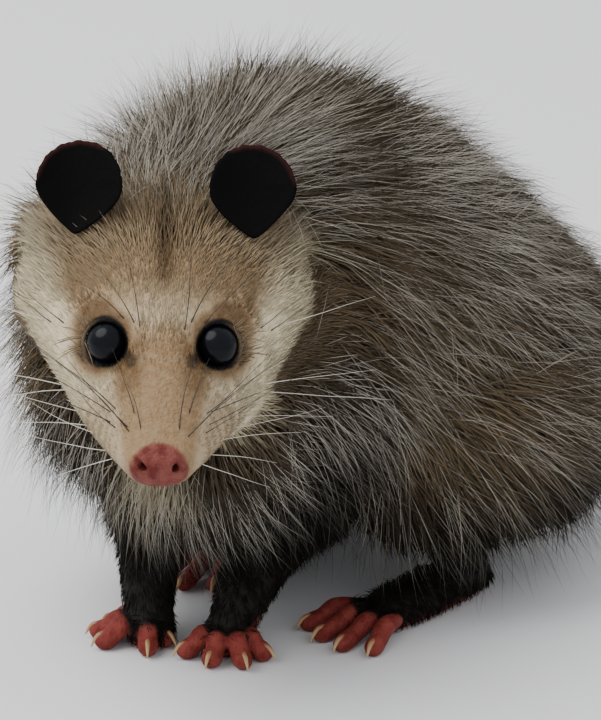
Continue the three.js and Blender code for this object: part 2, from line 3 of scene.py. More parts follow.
import bpy
import numpy as np
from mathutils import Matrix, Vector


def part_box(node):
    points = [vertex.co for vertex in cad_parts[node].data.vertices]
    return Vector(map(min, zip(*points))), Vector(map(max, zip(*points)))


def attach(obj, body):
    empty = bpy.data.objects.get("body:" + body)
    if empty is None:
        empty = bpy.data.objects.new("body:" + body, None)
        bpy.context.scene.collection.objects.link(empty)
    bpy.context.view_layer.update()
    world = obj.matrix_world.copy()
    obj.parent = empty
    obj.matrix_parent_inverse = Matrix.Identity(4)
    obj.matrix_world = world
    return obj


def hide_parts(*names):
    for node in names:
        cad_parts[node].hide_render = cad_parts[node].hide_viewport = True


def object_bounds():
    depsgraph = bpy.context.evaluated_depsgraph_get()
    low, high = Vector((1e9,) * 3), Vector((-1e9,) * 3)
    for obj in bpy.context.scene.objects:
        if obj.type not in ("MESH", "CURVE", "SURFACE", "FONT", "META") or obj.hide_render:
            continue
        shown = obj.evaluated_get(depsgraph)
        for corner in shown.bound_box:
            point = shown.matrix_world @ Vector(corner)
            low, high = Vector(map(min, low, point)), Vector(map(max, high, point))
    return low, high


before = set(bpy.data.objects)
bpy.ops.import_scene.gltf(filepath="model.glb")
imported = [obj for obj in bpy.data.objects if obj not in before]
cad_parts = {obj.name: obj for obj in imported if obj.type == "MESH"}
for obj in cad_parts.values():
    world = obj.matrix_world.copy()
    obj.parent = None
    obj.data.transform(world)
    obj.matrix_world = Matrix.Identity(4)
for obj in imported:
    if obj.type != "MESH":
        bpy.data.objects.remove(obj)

import openvdb
from mathutils import Matrix, Vector
from mathutils.kdtree import KDTree

cad_low, cad_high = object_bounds()

# The place of the animal. Sizes are in millimetres from a point on the floor under its shoulders,
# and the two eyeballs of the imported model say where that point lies.
EYE_LINE = (41.5, -64.5, 151.5)
EYE = {"spread": 20.5, "height": 0.5, "radius": 8.0}
HEAD_TURN = {"pitch": 21, "yaw": 40, "roll": 2}
METRE = 1000.0
SEED = 7


def turned(axis, degrees):
    return np.array(Matrix.Rotation(math.radians(degrees), 3, axis))


HEAD = turned("Z", HEAD_TURN["yaw"]) @ turned("X", HEAD_TURN["pitch"]) @ turned("Y", HEAD_TURN["roll"])
eye_boxes = [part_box("eye_left"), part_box("eye_right")]
eye_middle = np.mean([np.array(corner) for box in eye_boxes for corner in box], axis=0) * METRE
SHIFT = eye_middle - (np.array(EYE_LINE) + HEAD @ np.array([0, 0, EYE["height"]]))


def of_head(points):
    return np.asarray(points, float) @ HEAD.T + np.array(EYE_LINE)


def in_head(points):
    return (np.asarray(points, float) - np.array(EYE_LINE)) @ HEAD


def unit(vectors):
    vectors = np.asarray(vectors, float)
    return vectors / np.maximum(np.linalg.norm(vectors, axis=-1, keepdims=True), 1e-9)


def fade(value, start, end):
    share = np.clip((np.asarray(value, float) - start) / (end - start), 0, 1)
    return share * share * (3 - 2 * share)


def through(stations, steps):
    """A smooth line through the stations, with the given number of steps from each to the next."""
    rows = np.array(stations, float)
    rows = np.vstack([2 * rows[0] - rows[1], rows, 2 * rows[-1] - rows[-2]])
    t = np.arange(steps)[:, None] / steps
    parts = []
    for a, b, c, d in zip(rows, rows[1:], rows[2:], rows[3:]):
        parts.append(
            0.5 * (2 * b + (c - a) * t + (2 * a - 5 * b + 4 * c - d) * t**2 + (3 * b - 3 * c + d - a) * t**3)
        )
    return np.vstack([*parts, rows[-2:-1]])


# The skin of the whole body, one closed surface under the coat: trunk, neck, head, legs, paws
# and tail flow into one another, with the lids, nostrils and mouth line worked into it.
COAT_DEPTH = {"up": 6.0, "side": 9.0, "down": 12.0}
NECK_DEPTH = {"up": 3.0, "side": 4.0, "down": 8.0}
THIGH_DEPTH = {"up": 8.0, "side": 7.0, "down": 8.0}
TORSO = [
    [6, -38, 118, 12, 14, 14, 0],
    [5, -28, 116, 42, 58, 48, 0],
    [3, -8, 114, 60, 82, 66, 0.06],
    [2, 20, 114, 68, 93, 77, 0.08],
    [3, 52, 114, 72, 97, 78, 0.08],
    [5, 88, 110, 75, 92, 78, 0.08],
    [8, 122, 98, 75, 81, 72, 0.1],
    [11, 156, 84, 70, 68, 60, 0.1],
    [14, 186, 70, 58, 54, 46, 0.05],
    [16, 210, 60, 38, 34, 34, 0],
    [16, 222, 57, 14, 14, 14, 0],
]
NECK = [
    [23, -50, 128, 40, 36, 40, 0],
    [13, -34, 123, 55, 50, 55, 0],
    [5, -16, 120, 58, 62, 58, 0],
    [0, 2, 119, 57, 66, 57, 0],
    [-4, 25, 120, 50, 62, 50, 0],
]
SNOUT = 54
# back, height, half width, up, down, pear, depth of the coat
HEAD_STATIONS = [
    [0, -16, 6, 5.5, 5.5, 0, 1.5],
    [2.5, -16, 11.5, 9, 9.5, 0, 2.8],
    [8, -16, 14.5, 11.5, 12.5, 0, 3.0],
    [18, -14, 16, 12, 15, 0.05, 1.0],
    [30, -12, 19, 15, 19, 0.12, 0.8],
    [42, -10, 24, 19, 23, 0.18, 1.2],
    [54, -8, 30, 23, 28, 0.22, 1.6],
    [70, -8, 41, 29, 33, 0.2, 2.4],
    [85, -8, 52, 33, 37, 0.15, 3.4],
    [98, -8, 58, 34, 40, 0.1, 4.5],
    [112, -8, 56, 32, 38, 0.05, 7],
    [126, -8, 42, 24, 28, 0, 8],
    [132, -8, 22, 13, 14, 0, 7],
]
HIP_X = 10
THIGH = [
    [50, 46, 74, 10, 14, 12, 0],
    [55, 56, 73, 22, 32, 30, 0],
    [61, 80, 68, 31, 43, 44, 0],
    [64, 106, 62, 34, 47, 46, 0],
    [63, 132, 57, 31, 44, 43, 0],
    [57, 154, 54, 22, 32, 34, 0],
    [53, 164, 53, 8, 10, 10, 0],
]
FORELEG = {
    1: [[38, 30, 80, 21], [35, 28, 60, 19], [26, 14, 38, 15], [24, 1, 20, 12.5], [23, -3, 11, 11]],
    -1: [[-38, 14, 80, 22], [-31, 12, 60, 19], [-17, -5, 40, 15], [-11, -14, 20, 12.5], [-8, -17, 11, 11]],
}
FOREPAW = {
    1: {"centre": [24, -7], "toes": [[-76, 9], [-28, 17], [17, 16], [60, 17], [97, 16]]},
    -1: {"centre": [-6, -20], "toes": [[-84, 17], [-57, 19], [-28, 18], [40, 13], [92, 8]]},
}
HINDPAW = {1: {"toes": [55, 42], "heel": [59, 98]}, -1: {"toes": [-34, 46], "heel": [-38, 102]}}
HIND_FAN = [[-9, -22, 24], [-3, -9, 26.5], [3.5, 3, 27.5], [9, 18, 23]]
TOE = 4.1
CLAW = {"length": 7.6, "root": 1.3}
TAIL_LINE = [
    [16, 204, 56], [16, 226, 38], [14, 246, 18], [6, 266, 9], [-16, 286, 6], [-52, 292, 4],
    [-90, 276, 3], [-116, 244, 3], [-130, 204, 2], [-132, 168, 1], [-124, 140, 1],
]
TAIL = {"base": 11.5, "tip": 2.2}
LID = {"ring": 8.65, "tube": 1.0, "out": 2.2}
# the cheek from the whisker pad beside the nose back to the widest part of the face
CHEEKS = [[6, -43, -19, 6.5], [12, -30, -20, 9], [18, -12, -21, 12], [27, 10, -17.5, 13.5], [38, 32, -12, 14.5]]
NOSTRIL = [[4.2, -44, -15, 1.4], [4.6, -50, -14.4, 1.7], [6.8, -52.4, -12.6, 1.5], [9.3, -50, -10.2, 0.8]]
LEG_COAT = 2.0
SIDE = {1: "left", -1: "right"}


def gaze(side):
    return unit([side * 0.24, -0.74, 0.6])


def eye_place(side):
    return np.array([side * EYE["spread"], 0, EYE["height"]])


def graded(*stretches):
    """Grid lines along one axis, from (from, to, step) stretches laid end to end."""
    lines = [np.arange(start, end, step) for start, end, step in stretches]
    return np.concatenate([*lines, [stretches[-1][1]]])


class Flesh:
    """How far each point of a grid lies outside the skin, in millimetres. The grid is finer at the head and paws."""

    FAR = 40.0

    def __init__(self):
        self.axes = [
            graded((-150, -45, 1.8), (-45, 100, 0.95), (100, 112, 1.8)),
            graded((-118, 5, 0.9), (5, 128, 1.2), (128, 306, 1.7)),
            graded((-2.5, 24, 0.8), (24, 96, 2.2), (96, 186, 1.0), (186, 212, 2.2)),
        ]
        self.value = np.full([len(axis) for axis in self.axes], self.FAR, np.float32)

    def window(self, low, high, margin):
        cuts = []
        for axis, a, b in zip(self.axes, low, high):
            cuts.append(slice(*np.searchsorted(axis, [a - margin, b + margin])))
        return tuple(cuts)

    def points(self, cut):
        lines = [axis[c] for axis, c in zip(self.axes, cut)]
        return np.stack(np.meshgrid(*lines, indexing="ij"), axis=-1).astype(np.float32)

    def join(self, cut, distance, soft):
        old = self.value[cut]
        near = np.maximum(soft - np.abs(old - distance), 0) / soft
        self.value[cut] = np.minimum(old, distance) - near * near * soft / 4

    def carve(self, cut, distance, soft):
        old = self.value[cut]
        near = np.maximum(soft - np.abs(old + distance), 0) / soft
        self.value[cut] = np.maximum(old, -distance) + near * near * soft / 4

    def evened(self, cut, distance):
        lines = [axis[c] for axis, c in zip(self.axes, cut)]
        slopes = np.gradient(distance, *lines)
        return distance / np.maximum(1, np.sqrt(sum(slope * slope for slope in slopes)))

    def limb(self, stations, soft, steps=6, cutting=False):
        line = through(stations, steps)
        low, high = line[:, :3].min(0), line[:, :3].max(0)
        margin = line[:, 3].max() + soft + 6
        cut = self.window(low, high, margin)
        whole = np.full(self.value[cut].shape, self.FAR, np.float32)
        for a, b in zip(line, line[1:]):
            part = self.window(np.minimum(a, b)[:3], np.maximum(a, b)[:3], max(a[3], b[3]) + soft + 5)
            points = self.points(part)
            along = b[:3] - a[:3]
            share = np.clip(((points - a[:3]) @ along) / (along @ along), 0, 1)
            offset = points - a[:3] - share[..., None] * along
            distance = np.linalg.norm(offset, axis=-1) - (a[3] + share * (b[3] - a[3]))
            inner = tuple(slice(p.start - c.start, p.stop - c.start) for p, c in zip(part, cut))
            inner = tuple(slice(max(0, s.start), s.stop) for s in inner)
            seen = whole[inner]
            whole[inner] = np.minimum(seen, distance[tuple(slice(-n, None) for n in seen.shape)])
        (self.carve if cutting else self.join)(cut, whole, soft)

    def ball(self, centre, radii, soft, turn=None, cutting=False):
        turn = np.eye(3) if turn is None else turn
        reach = max(radii)
        cut = self.window(np.array(centre) - reach, np.array(centre) + reach, soft + 5)
        local = (self.points(cut) - np.array(centre)) @ turn
        scaled = local / np.array(radii)
        rho = np.linalg.norm(scaled, axis=-1)
        slope = np.linalg.norm(scaled / np.array(radii), axis=-1)
        distance = rho * (rho - 1) / np.maximum(slope, 1e-6)
        distance = np.maximum(distance, -reach).astype(np.float32)
        (self.carve if cutting else self.join)(cut, distance, soft)

    def ring(self, centre, axis, radius, tube, soft, squash=1.0):
        cut = self.window(np.array(centre) - radius, np.array(centre) + radius, tube + soft + 5)
        offset = self.points(cut) - np.array(centre)
        high = offset @ axis
        flat = np.linalg.norm(offset - high[..., None] * axis, axis=-1)
        self.join(cut, np.hypot(flat - radius, high * squash) - tube, soft)

    def section(self, dx, dz, shape):
        """How far a point of a section lies outside its rounded outline."""
        half, up, down, pear = shape
        tall = np.where(dz > 0, up, down)
        v = dz / tall
        wide = half * (1 - pear * np.clip(v, -1, 1))
        u = dx / wide
        rho = np.hypot(u, v)
        return rho * (rho - 1) / np.maximum(np.hypot(u / wide, v / tall), 1e-3)

    def body(self, stations, depth, soft):
        line = through(stations, 8)
        line = line[np.argsort(line[:, 1])]
        low = [(line[:, 0] - line[:, 3]).min(), line[0, 1], (line[:, 2] - line[:, 5]).min()]
        high = [(line[:, 0] + line[:, 3]).max(), line[-1, 1], (line[:, 2] + line[:, 4]).max()]
        cut = self.window(low, high, 4)
        ys = self.axes[1][cut[1]]
        x, z, half, up, down, pear = (np.interp(ys, line[:, 1], line[:, k])[None, :, None] for k in (0, 2, 3, 4, 5, 6))
        shape = [
            np.maximum(size - depth[way], 1.5) for size, way in ((half, "side"), (up, "up"), (down, "down"))
        ]
        points = self.points(cut)
        distance = self.section(points[..., 0] - x, points[..., 2] - z, [*shape, pear])
        inner = depth["side"] / 2
        ends = np.maximum(line[0, 1] + inner - points[..., 1], points[..., 1] - line[-1, 1] + inner)
        distance = np.maximum(distance, ends)
        self.join(cut, self.evened(cut, distance).astype(np.float32), soft)

    def face(self, stations, soft):
        line = through(stations, 8)
        reach = 75
        middle = of_head([0, 40, -8])
        cut = self.window(middle - reach, middle + reach, 25)
        points = in_head(self.points(cut))
        back = points[..., 1] + SNOUT
        height, half, up, down, pear, depth = (np.interp(back, line[:, 0], line[:, k]) for k in range(1, 7))
        shape = [np.maximum(size - depth, 0.8) for size in (half, up, down)]
        distance = self.section(points[..., 0], points[..., 2] - height, [*shape, pear])
        distance = np.maximum(distance, np.maximum(0.2 - back, back - 128))
        self.join(cut, self.evened(cut, distance).astype(np.float32), soft)

    def surface(self):
        grid = openvdb.FloatGrid(self.FAR)
        grid.copyFromArray(self.value)
        places, quads = grid.convertToQuads(0.0)
        places = np.array(places, float)
        for k, axis in enumerate(self.axes):
            places[:, k] = np.interp(places[:, k], np.arange(len(axis)), axis)
        return places, np.array(quads, int)


def toe_line(centre, heading, start, knuckle, reach, height, radius, rear=None):
    """A toe from the palm out over its knuckle to the tip, and the claw that goes on from it."""
    angle = math.radians(heading)
    ahead = np.array([math.sin(angle), -math.cos(angle)])

    def at(far, high, thick):
        return [*(np.array(centre) + ahead * far), high, thick]

    toe = [
        at(start, height, radius * 0.8),
        at(knuckle, height + 0.8, radius * 1.04),
        at((knuckle + reach) / 2, height * 0.72, radius * 0.94),
        at(reach, radius * 0.92, radius * 0.98),
        at(reach + radius * 0.6, radius * 0.9 + 0.3, radius * 0.55),
    ]
    low = radius * 0.9
    long = CLAW["length"]
    claw = [
        at(reach - 2, low + 2.6, CLAW["root"]),
        at(reach + 0.3 * long, low + 2.7, CLAW["root"] * 0.85),
        at(reach + 0.62 * long, low + 0.7, CLAW["root"] * 0.55),
        at(reach + 0.8 * long, low - 1.9, CLAW["root"] * 0.2),
    ]
    return toe, claw


def tail_stations():
    line = through(TAIL_LINE, 6)
    run = np.concatenate([[0], np.cumsum(np.linalg.norm(np.diff(line, axis=0), axis=1))])
    share = run / run[-1]
    radius = TAIL["base"] - (TAIL["base"] - TAIL["tip"]) * share**0.85
    line[:, 2] = np.maximum(line[:, 2], radius - 0.5)
    return np.column_stack([line, radius])


def heel_frame(side):
    """The hind foot's own line from heel to toes."""
    toes, heel = np.array(HINDPAW[side]["toes"], float), np.array(HINDPAW[side]["heel"], float)
    ahead = unit(toes - heel)
    across = np.array([-ahead[1], ahead[0]])
    long = np.linalg.norm(toes - heel)
    yaw = math.degrees(math.atan2(ahead[0], -ahead[1]))
    return lambda off, share: heel + ahead * share * long + across * off, yaw, long


def fore_toes(side):
    paw = FOREPAW[side]
    return [
        toe_line(paw["centre"], heading, 5, 0.6 * reach, reach, 8, TOE) for heading, reach in paw["toes"]
    ]


def hind_toes(side):
    at, yaw, _ = heel_frame(side)
    toes = [toe_line(at(off, 0.86), yaw + angle, 3, 13, reach, 7.2, TOE * 0.93) for off, angle, reach in HIND_FAN]
    inner = -side
    big, _ = toe_line(at(-5 * inner, 0.5), yaw + 62 * inner, 0, 8, 15, 6.5, TOE * 1.1)
    return toes, big


def skin_flesh():
    flesh = Flesh()
    flesh.body(TORSO, COAT_DEPTH, 1)
    flesh.body(NECK, NECK_DEPTH, 16)
    for side in SIDE:
        stations = [[HIP_X + side * (x - HIP_X), *rest] for x, *rest in THIGH]
        flesh.body(stations, THIGH_DEPTH, 14)
    flesh.face(HEAD_STATIONS, 12)
    for side in SIDE:
        leg = [[x, y, z, r - LEG_COAT] for x, y, z, r in FORELEG[side]]
        flesh.limb(leg, 8)
        centre = FOREPAW[side]["centre"]
        flesh.ball([*centre, 6], [9.5, 10, 7.5], 5)
        for toe, _ in fore_toes(side):
            flesh.limb(toe, 1.0, 4)
        at, _, long = heel_frame(side)
        hip = HIP_X + side * 46
        heel = at(0, 0)
        middle = (np.array([hip, 64]) + heel) / 2
        shank = [[hip, 64, 62, 15], [*middle, 44, 14], [heel[0], heel[1] - 8, 26, 11.5], [heel[0], heel[1] - 1, 12, 9.5]]
        flesh.limb(shank, 8)
        sole = [(-0.1, 6, 5), (0.2, 7, 7.5), (0.6, 6.5, 7.3), (0.84, 6, 6.3), (0.93, 5, 4.6)]
        for off in (-3.8, 3.8):
            flesh.limb([[*at(off * min(1, 0.6 + share), share), high, thick] for share, high, thick in sole], 4)
        toes, big = hind_toes(side)
        for toe, _ in toes:
            flesh.limb(toe, 1.0, 4)
        flesh.limb(big, 3, 4)
    flesh.limb(tail_stations(), 4, 1)
    for side in SIDE:
        look = HEAD @ gaze(side)
        eye = of_head(eye_place(side))
        flesh.ball(eye - look * 5, [10, 10, 10], 6)
        flesh.ball(eye + look * 8, [10.2, 10.2, 8.4], 2, turn_to(look), cutting=True)
        flesh.ring(eye + look * LID["out"], look, LID["ring"], LID["tube"], 1.6)
        flesh.ball(eye, [EYE["radius"] + 0.05] * 3, 0.4, cutting=True)
        flesh.limb([[*of_head([side * x, y, z]), r] for x, y, z, r in CHEEKS], 8, 4)
        flesh.ball(of_head([side * 6.2, -48.6, -13.6]), [4.6, 4.8, 4.8], 2.5, HEAD)
        nostril = [[side * x, y, z, r] for x, y, z, r in NOSTRIL]
        flesh.limb([[*of_head(row[:3]), row[3] * 1.05] for row in nostril], 1.0, 3, cutting=True)
        mouth = [[side * 7.5, -49, -22.6, 0.55], [side * 14, -38, -23.2, 0.6], [side * 18, -22, -24.2, 0.6], [side * 21, -11, -25, 0.5]]
        flesh.limb([[*of_head(row[:3]), row[3]] for row in mouth], 1.5, 6, cutting=True)
    flesh.ball(of_head([0, -48.5, -19]), [5.5, 4.6, 4], 3, HEAD)
    notch = [[0, -54.5, -14, 0.35], [0, -54.3, -18, 0.5], [0, -52.5, -23, 0.6]]
    flesh.limb([[*of_head(row[:3]), row[3]] for row in notch], 1, 3, cutting=True)
    flesh.value = np.maximum(flesh.value, -flesh.axes[2][None, None, :].astype(np.float32))
    return flesh


def turn_to(axis):
    """A turn whose third axis is the given one."""
    axis = unit(axis)
    side = unit(np.cross([0.0, 0.0, 1.0] if abs(axis[2]) < 0.9 else [1.0, 0.0, 0.0], axis))
    return np.column_stack([side, np.cross(axis, side), axis])


def place_mesh(name, points, faces, smooth=True):
    """A mesh object from points in millimetres and faces of one size."""
    faces = np.asarray(faces, np.int32)
    mesh = bpy.data.meshes.new(name)
    mesh.vertices.add(len(points))
    mesh.vertices.foreach_set("co", ((np.asarray(points) + SHIFT) / METRE).astype(np.float32).ravel())
    mesh.loops.add(faces.size)
    mesh.loops.foreach_set("vertex_index", faces.ravel())
    mesh.polygons.add(len(faces))
    mesh.polygons.foreach_set("loop_start", np.arange(0, faces.size, faces.shape[1], dtype=np.int32))
    mesh.update(calc_edges=True)
    mesh.polygons.foreach_set("use_smooth", np.full(len(faces), smooth))
    piece = bpy.data.objects.new(name, mesh)
    bpy.context.scene.collection.objects.link(piece)
    return piece


skin_points, skin_quads = skin_flesh().surface()
skin = place_mesh("skin", skin_points, skin_quads)
print("skin", len(skin_points), len(skin_quads))


def in_use(piece):
    bpy.ops.object.select_all(action="DESELECT")
    piece.select_set(True)
    bpy.context.view_layer.objects.active = piece


in_use(skin)
bpy.ops.object.mode_set(mode="EDIT")
bpy.ops.mesh.select_all(action="SELECT")
bpy.ops.uv.smart_project(angle_limit=math.radians(66), island_margin=0.002)
bpy.ops.object.mode_set(mode="OBJECT")
skin.data.uv_layers[0].name = "OFBake"
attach(skin, "root")



# The lie of the coat over the skin: how long the hair is, how far it stands off, which way it
# lies and which markings it carries, all worked out for each point of the skin.
def off_limb(points, stations, steps=5):
    """How far points lie from a limb's side."""
    line = through(stations, steps)
    nearest = np.full(len(points), 1e3)
    for a, b in zip(line, line[1:]):
        along = b[:3] - a[:3]
        share = np.clip(((points - a[:3]) @ along) / (along @ along), 0, 1)
        offset = points - a[:3] - share[:, None] * along
        distance = np.linalg.norm(offset, axis=1) - (a[3] + share * (b[3] - a[3]))
        nearest = np.minimum(nearest, distance)
    return nearest


def along_tail(points):
    """Share of the tail's length beside each point, its distance from the tail and its turn round it."""
    line = tail_stations()
    run = np.concatenate([[0], np.cumsum(np.linalg.norm(np.diff(line[:, :3], axis=0), axis=1))])
    best = np.full(len(points), 1e3)
    share_of = np.zeros(len(points))
    for k, (a, b) in enumerate(zip(line, line[1:])):
        along = b[:3] - a[:3]
        share = np.clip(((points - a[:3]) @ along) / (along @ along), 0, 1)
        distance = np.linalg.norm(points - a[:3] - share[:, None] * along, axis=1) - a[3]
        closer = distance < best
        best = np.where(closer, distance, best)
        share_of = np.where(closer, (run[k] + share * (run[k + 1] - run[k])) / run[-1], share_of)
    return share_of, best, run[-1]


def spots(points, size, seed):
    """A smooth random value from 0 to 1 that changes over about the given size."""
    rng = np.random.default_rng(seed)
    total = np.zeros(len(points))
    for _ in range(7):
        wave = unit(rng.normal(size=3)) * 2 * math.pi / (size * rng.uniform(1.2, 2.8))
        total += np.sin(points @ wave + rng.uniform(0, 7))
    return 0.5 + 0.5 * np.clip(total / 3.2, -1, 1)


def head_share(local):
    line = through(HEAD_STATIONS, 4)
    back = local[:, 1] + SNOUT
    height, half, up, down, pear = (np.interp(back, line[:, 0], line[:, k]) for k in range(1, 6))
    dz = local[:, 2] - height
    v = dz / np.where(dz > 0, up, down)
    u = local[:, 0] / (half * (1 - pear * np.clip(v, -1, 1)))
    cheeks = [[[side * x, *rest] for x, *rest in CHEEKS] for side in SIDE]
    off_cheek = np.minimum(*(off_limb(local, cheek) for cheek in cheeks))
    inside = np.maximum(fade(np.hypot(u, v), 1.3, 1.05), fade(off_cheek, 7, 2.5))
    return inside * fade(local[:, 1], 66, 46)


def paw_gap(points):
    """How far points lie outside the haired back of each foot, on the side of its bare toes."""
    nearest = np.full(len(points), 1e3)
    for side in SIDE:
        nearest = np.minimum(nearest, np.linalg.norm(points[:, :2] - FOREPAW[side]["centre"], axis=1) - 9.5)
        at, _, long = heel_frame(side)
        heel, ball = at(0, 0), at(0, 0.88)
        along = ball - heel
        share = np.clip(((points[:, :2] - heel) @ along) / (along @ along), 0, 1)
        nearest = np.minimum(nearest, np.linalg.norm(points[:, :2] - heel - share[:, None] * along, axis=1) - 11)
    return nearest


def eye_gap(local):
    left, right = (np.linalg.norm(local - eye_place(side), axis=1) for side in SIDE)
    return np.minimum(left, right)


NOSE = {"centre": [0, -51, -15.5], "reach": [11, 10, 9.8]}
EYE_CORNER = [(-6.5, -6, -2), (-8, -9.5, 0.8), (-9.2, -13, 2.8)]
KNEE = (58, 102, 29, 30)


class Hide:
    """The skin's points with all that the coat needs to know of them."""

    def __init__(self, points, normals):
        self.points = points
        self.normals = normals
        local = in_head(points)
        x, y, z = local.T
        rise = points[:, 2]
        out = normals
        head = head_share(local)
        tail, tail_gap, tail_length = along_tail(points)
        on_tail = fade(tail_gap, 5, 1) * fade(points[:, 1], 120, 150)
        on_tail = np.where(points[:, 1] > 225, 1.0, on_tail)
        forelegs = [off_limb(points, FORELEG[side]) for side in SIDE]
        foreleg = fade(np.minimum(*forelegs), 7, 1) * fade(points[:, 1], 60, 40)
        leg = np.maximum(foreleg * fade(rise, 76, 60), fade(rise, 50, 34)) * (1 - on_tail)
        toes = fade(paw_gap(points), 0, 2.5)
        paw = np.maximum(fade(rise, 16, 13) * toes, fade(rise, 4.5, 2.5)) * (1 - on_tail)
        eyes = eye_gap(local)
        pad = np.linalg.norm((local - NOSE["centre"]) / NOSE["reach"], axis=1)
        nose = fade(pad, 1.08, 0.94) * head
        corner = np.full(len(points), 1e3)
        for side in SIDE:
            slit = [[*(eye_place(side) + [side * a, b, c]), 0.0] for a, b, c in EYE_CORNER]
            corner = np.minimum(corner, off_limb(local, slit, 1))
        lid = fade(eyes, 10.8, 9.9) * head
        scale = on_tail * fade(tail, 0.13, 0.2)

        self.bare = np.clip(paw + nose + scale, 0, 1)
        self.paw, self.nose, self.tail_skin, self.lid = paw, nose, scale, lid
        self.head = head
        self.run = tail * tail_length
        self.leg = leg

        ruff = fade(y, 34, 56) * fade(y, 120, 85) * fade(np.hypot(x, z + 8), 30, 50) * fade(points[:, 2], 50, 75)
        wide = np.abs(x)
        face_edge = 31 + 7 * spots(points, 12, 3) + 17 * fade(wide, 14, 40) * fade(z, -9, 4)
        face_edge -= 13 * fade(z, -7, -15) + 20 * fade(z, -15, -24)
        top = fade(z, 0, 10)
        cream = head * fade(y, face_edge + 6, face_edge - 7)
        crown = head * top * fade(y, 24, 42)
        streak = head * top * np.exp(-((x / 3.6) ** 2)) * fade(y, 5, 20)
        brow = np.minimum(*(np.linalg.norm(local - eye_place(side) - [7 * side, 6, 6.5], axis=1) for side in SIDE))
        halo = np.minimum.reduce([eyes, corner + 8.5, brow + 2.5])
        muzzle = fade(y, 10, -10) * fade(wide, 28 + 0.2 * y, 16 + 0.1 * y)
        tan = np.maximum.reduce([
            fade(halo, 21, 10.5),
            (0.5 + 0.32 * fade(y, 0, 16)) * fade(z, -4, 6) * fade(y, -14, 0),
            0.92 * muzzle,
            # painted shade: darker tan along the sides of the muzzle, from below the eyes towards the nose, to show
            # its form
            muzzle * fade(wide, 4, 9) * fade(y, -32, -22),
            0.85 * fade(pad, 1.8, 1.15),
            0.6 * fade(y, -10, -22),
        ])
        tan *= head * (1 - 0.85 * fade(wide, 32, 42)) * (1 - 0.5 * crown)
        # the trunk is darker at the chest below the head and towards the bottom
        chest = fade(rise, 128, 90) * fade(points[:, 1], 58, 16)
        low = fade(rise, 104, 58)
        near_face = fade(np.hypot(x, z + 8), 78, 50) * fade(y, 84, 54)
        throat = fade(wide, 15, 6) * fade(z, -20, -28) * fade(y, 56, 36) * fade(rise, 82, 98)
        patch = spots(points, 55, 5)
        self.cream = np.clip(cream * (1 - 0.8 * crown) * (1 - 0.55 * streak) + 0.28 * crown + 0.6 * throat, 0, 1)
        self.tan = tan
        knee = np.exp(-(((points[:, 1] - KNEE[0]) / KNEE[2]) ** 2) - ((rise - KNEE[1]) / KNEE[3]) ** 2) * (points[:, 0] > 30)
        trunk_dark = np.maximum.reduce([chest, 0.92 * low, 0.3 * patch]) * (1 - head) * (1 - 0.8 * knee) * (1 - 0.75 * near_face)
        # painted shade: a little black along the sides of the muzzle, to set the muzzle off from the cheeks
        muzzle_side_shade = 0.3 * muzzle * fade(wide, 4, 9) * fade(y, -30, -20)
        self.dark = np.clip(np.maximum.reduce([leg, 0.1 * crown, 0.55 * streak, muzzle_side_shade, trunk_dark]) + 0.5 * on_tail, 0, 1)
        self.dark *= 1 - 0.9 * self.cream * (1 - streak) * (1 - muzzle)
        ears = np.minimum(*(np.linalg.norm(local - [side * 34, 42, 22], axis=1) for side in SIDE))
        self.near_ear = fade(ears, 26, 12)
        self.dark = np.maximum(self.dark, head * np.maximum(0.5 * fade(halo, 15, 10.2), 0.85 * fade(corner, 5, 1.5)))
        rear_cheek = head * fade(z, 6, -6) * (1 - cream)
        self.warm = np.clip(0.85 * rear_cheek + 0.95 * knee + 0.45 * spots(points, 80, 9) + 0.9 * ruff * fade(y, 95, 60) * fade(z, 14, -6), 0, 1)

        side_long = fade(np.abs(x), 6, 24) * fade(z, 2, -14)
        face_long = 3.6 + 2.4 * fade(y, -26, 2) + 4 * fade(y, 4, 40) + 6 * fade(y, 40, 60) + 3 * fade(wide, 30, 42) * fade(y, 20, 36) + 1.5 * side_long * fade(y, -30, 0)
        face_long = (face_long + 7 * crown) * (1 - 0.55 * fade(pad, 1.9, 1.0))
        face_long = np.where(eyes < 20, np.minimum(face_long, 1.6 + 0.45 * (eyes - 10)), face_long)
        rear = fade(points[:, 1], 90, 140) * fade(rise, 85, 45)
        trunk_long = 27 + 3 * fade(out[:, 2], 0.3, 0.9) + 3 * fade(out[:, 2], -0.2, -0.9) + 6 * rear
        trunk_long += 11 * ruff + 6 * fade(points[:, 1], 70, 10) * fade(out[:, 2], 0.0, 0.7)
        long = head * face_long + (1 - head) * trunk_long
        long = long * (1 - leg) + leg * (6 + 14 * fade(rise, 24, 70))
        long = np.where(on_tail > 0.5, 4 + 18 * fade(tail, 0.16, 0.0), long)
        stand = np.maximum(crown, (1 - head) * fade(out[:, 2], 0.1, 0.7) * fade(points[:, 1], 150, 60))
        self.bend = 0.5 - 0.33 * stand + 0.2 * head * (1 - crown)
        self.uneven = spots(points, 30, 21)
        self.knee = knee
        self.ruff = ruff
        self.nape = fade(np.linalg.norm(local - [0, 62, 18], axis=1), 62, 28)
        self.long = np.maximum(long, 1.2)
        self.cover = (1 - self.bare) * (1 - lid)
        self.cover *= np.where(on_tail > 0.5, fade(tail, 0.2, 0.12), 1)

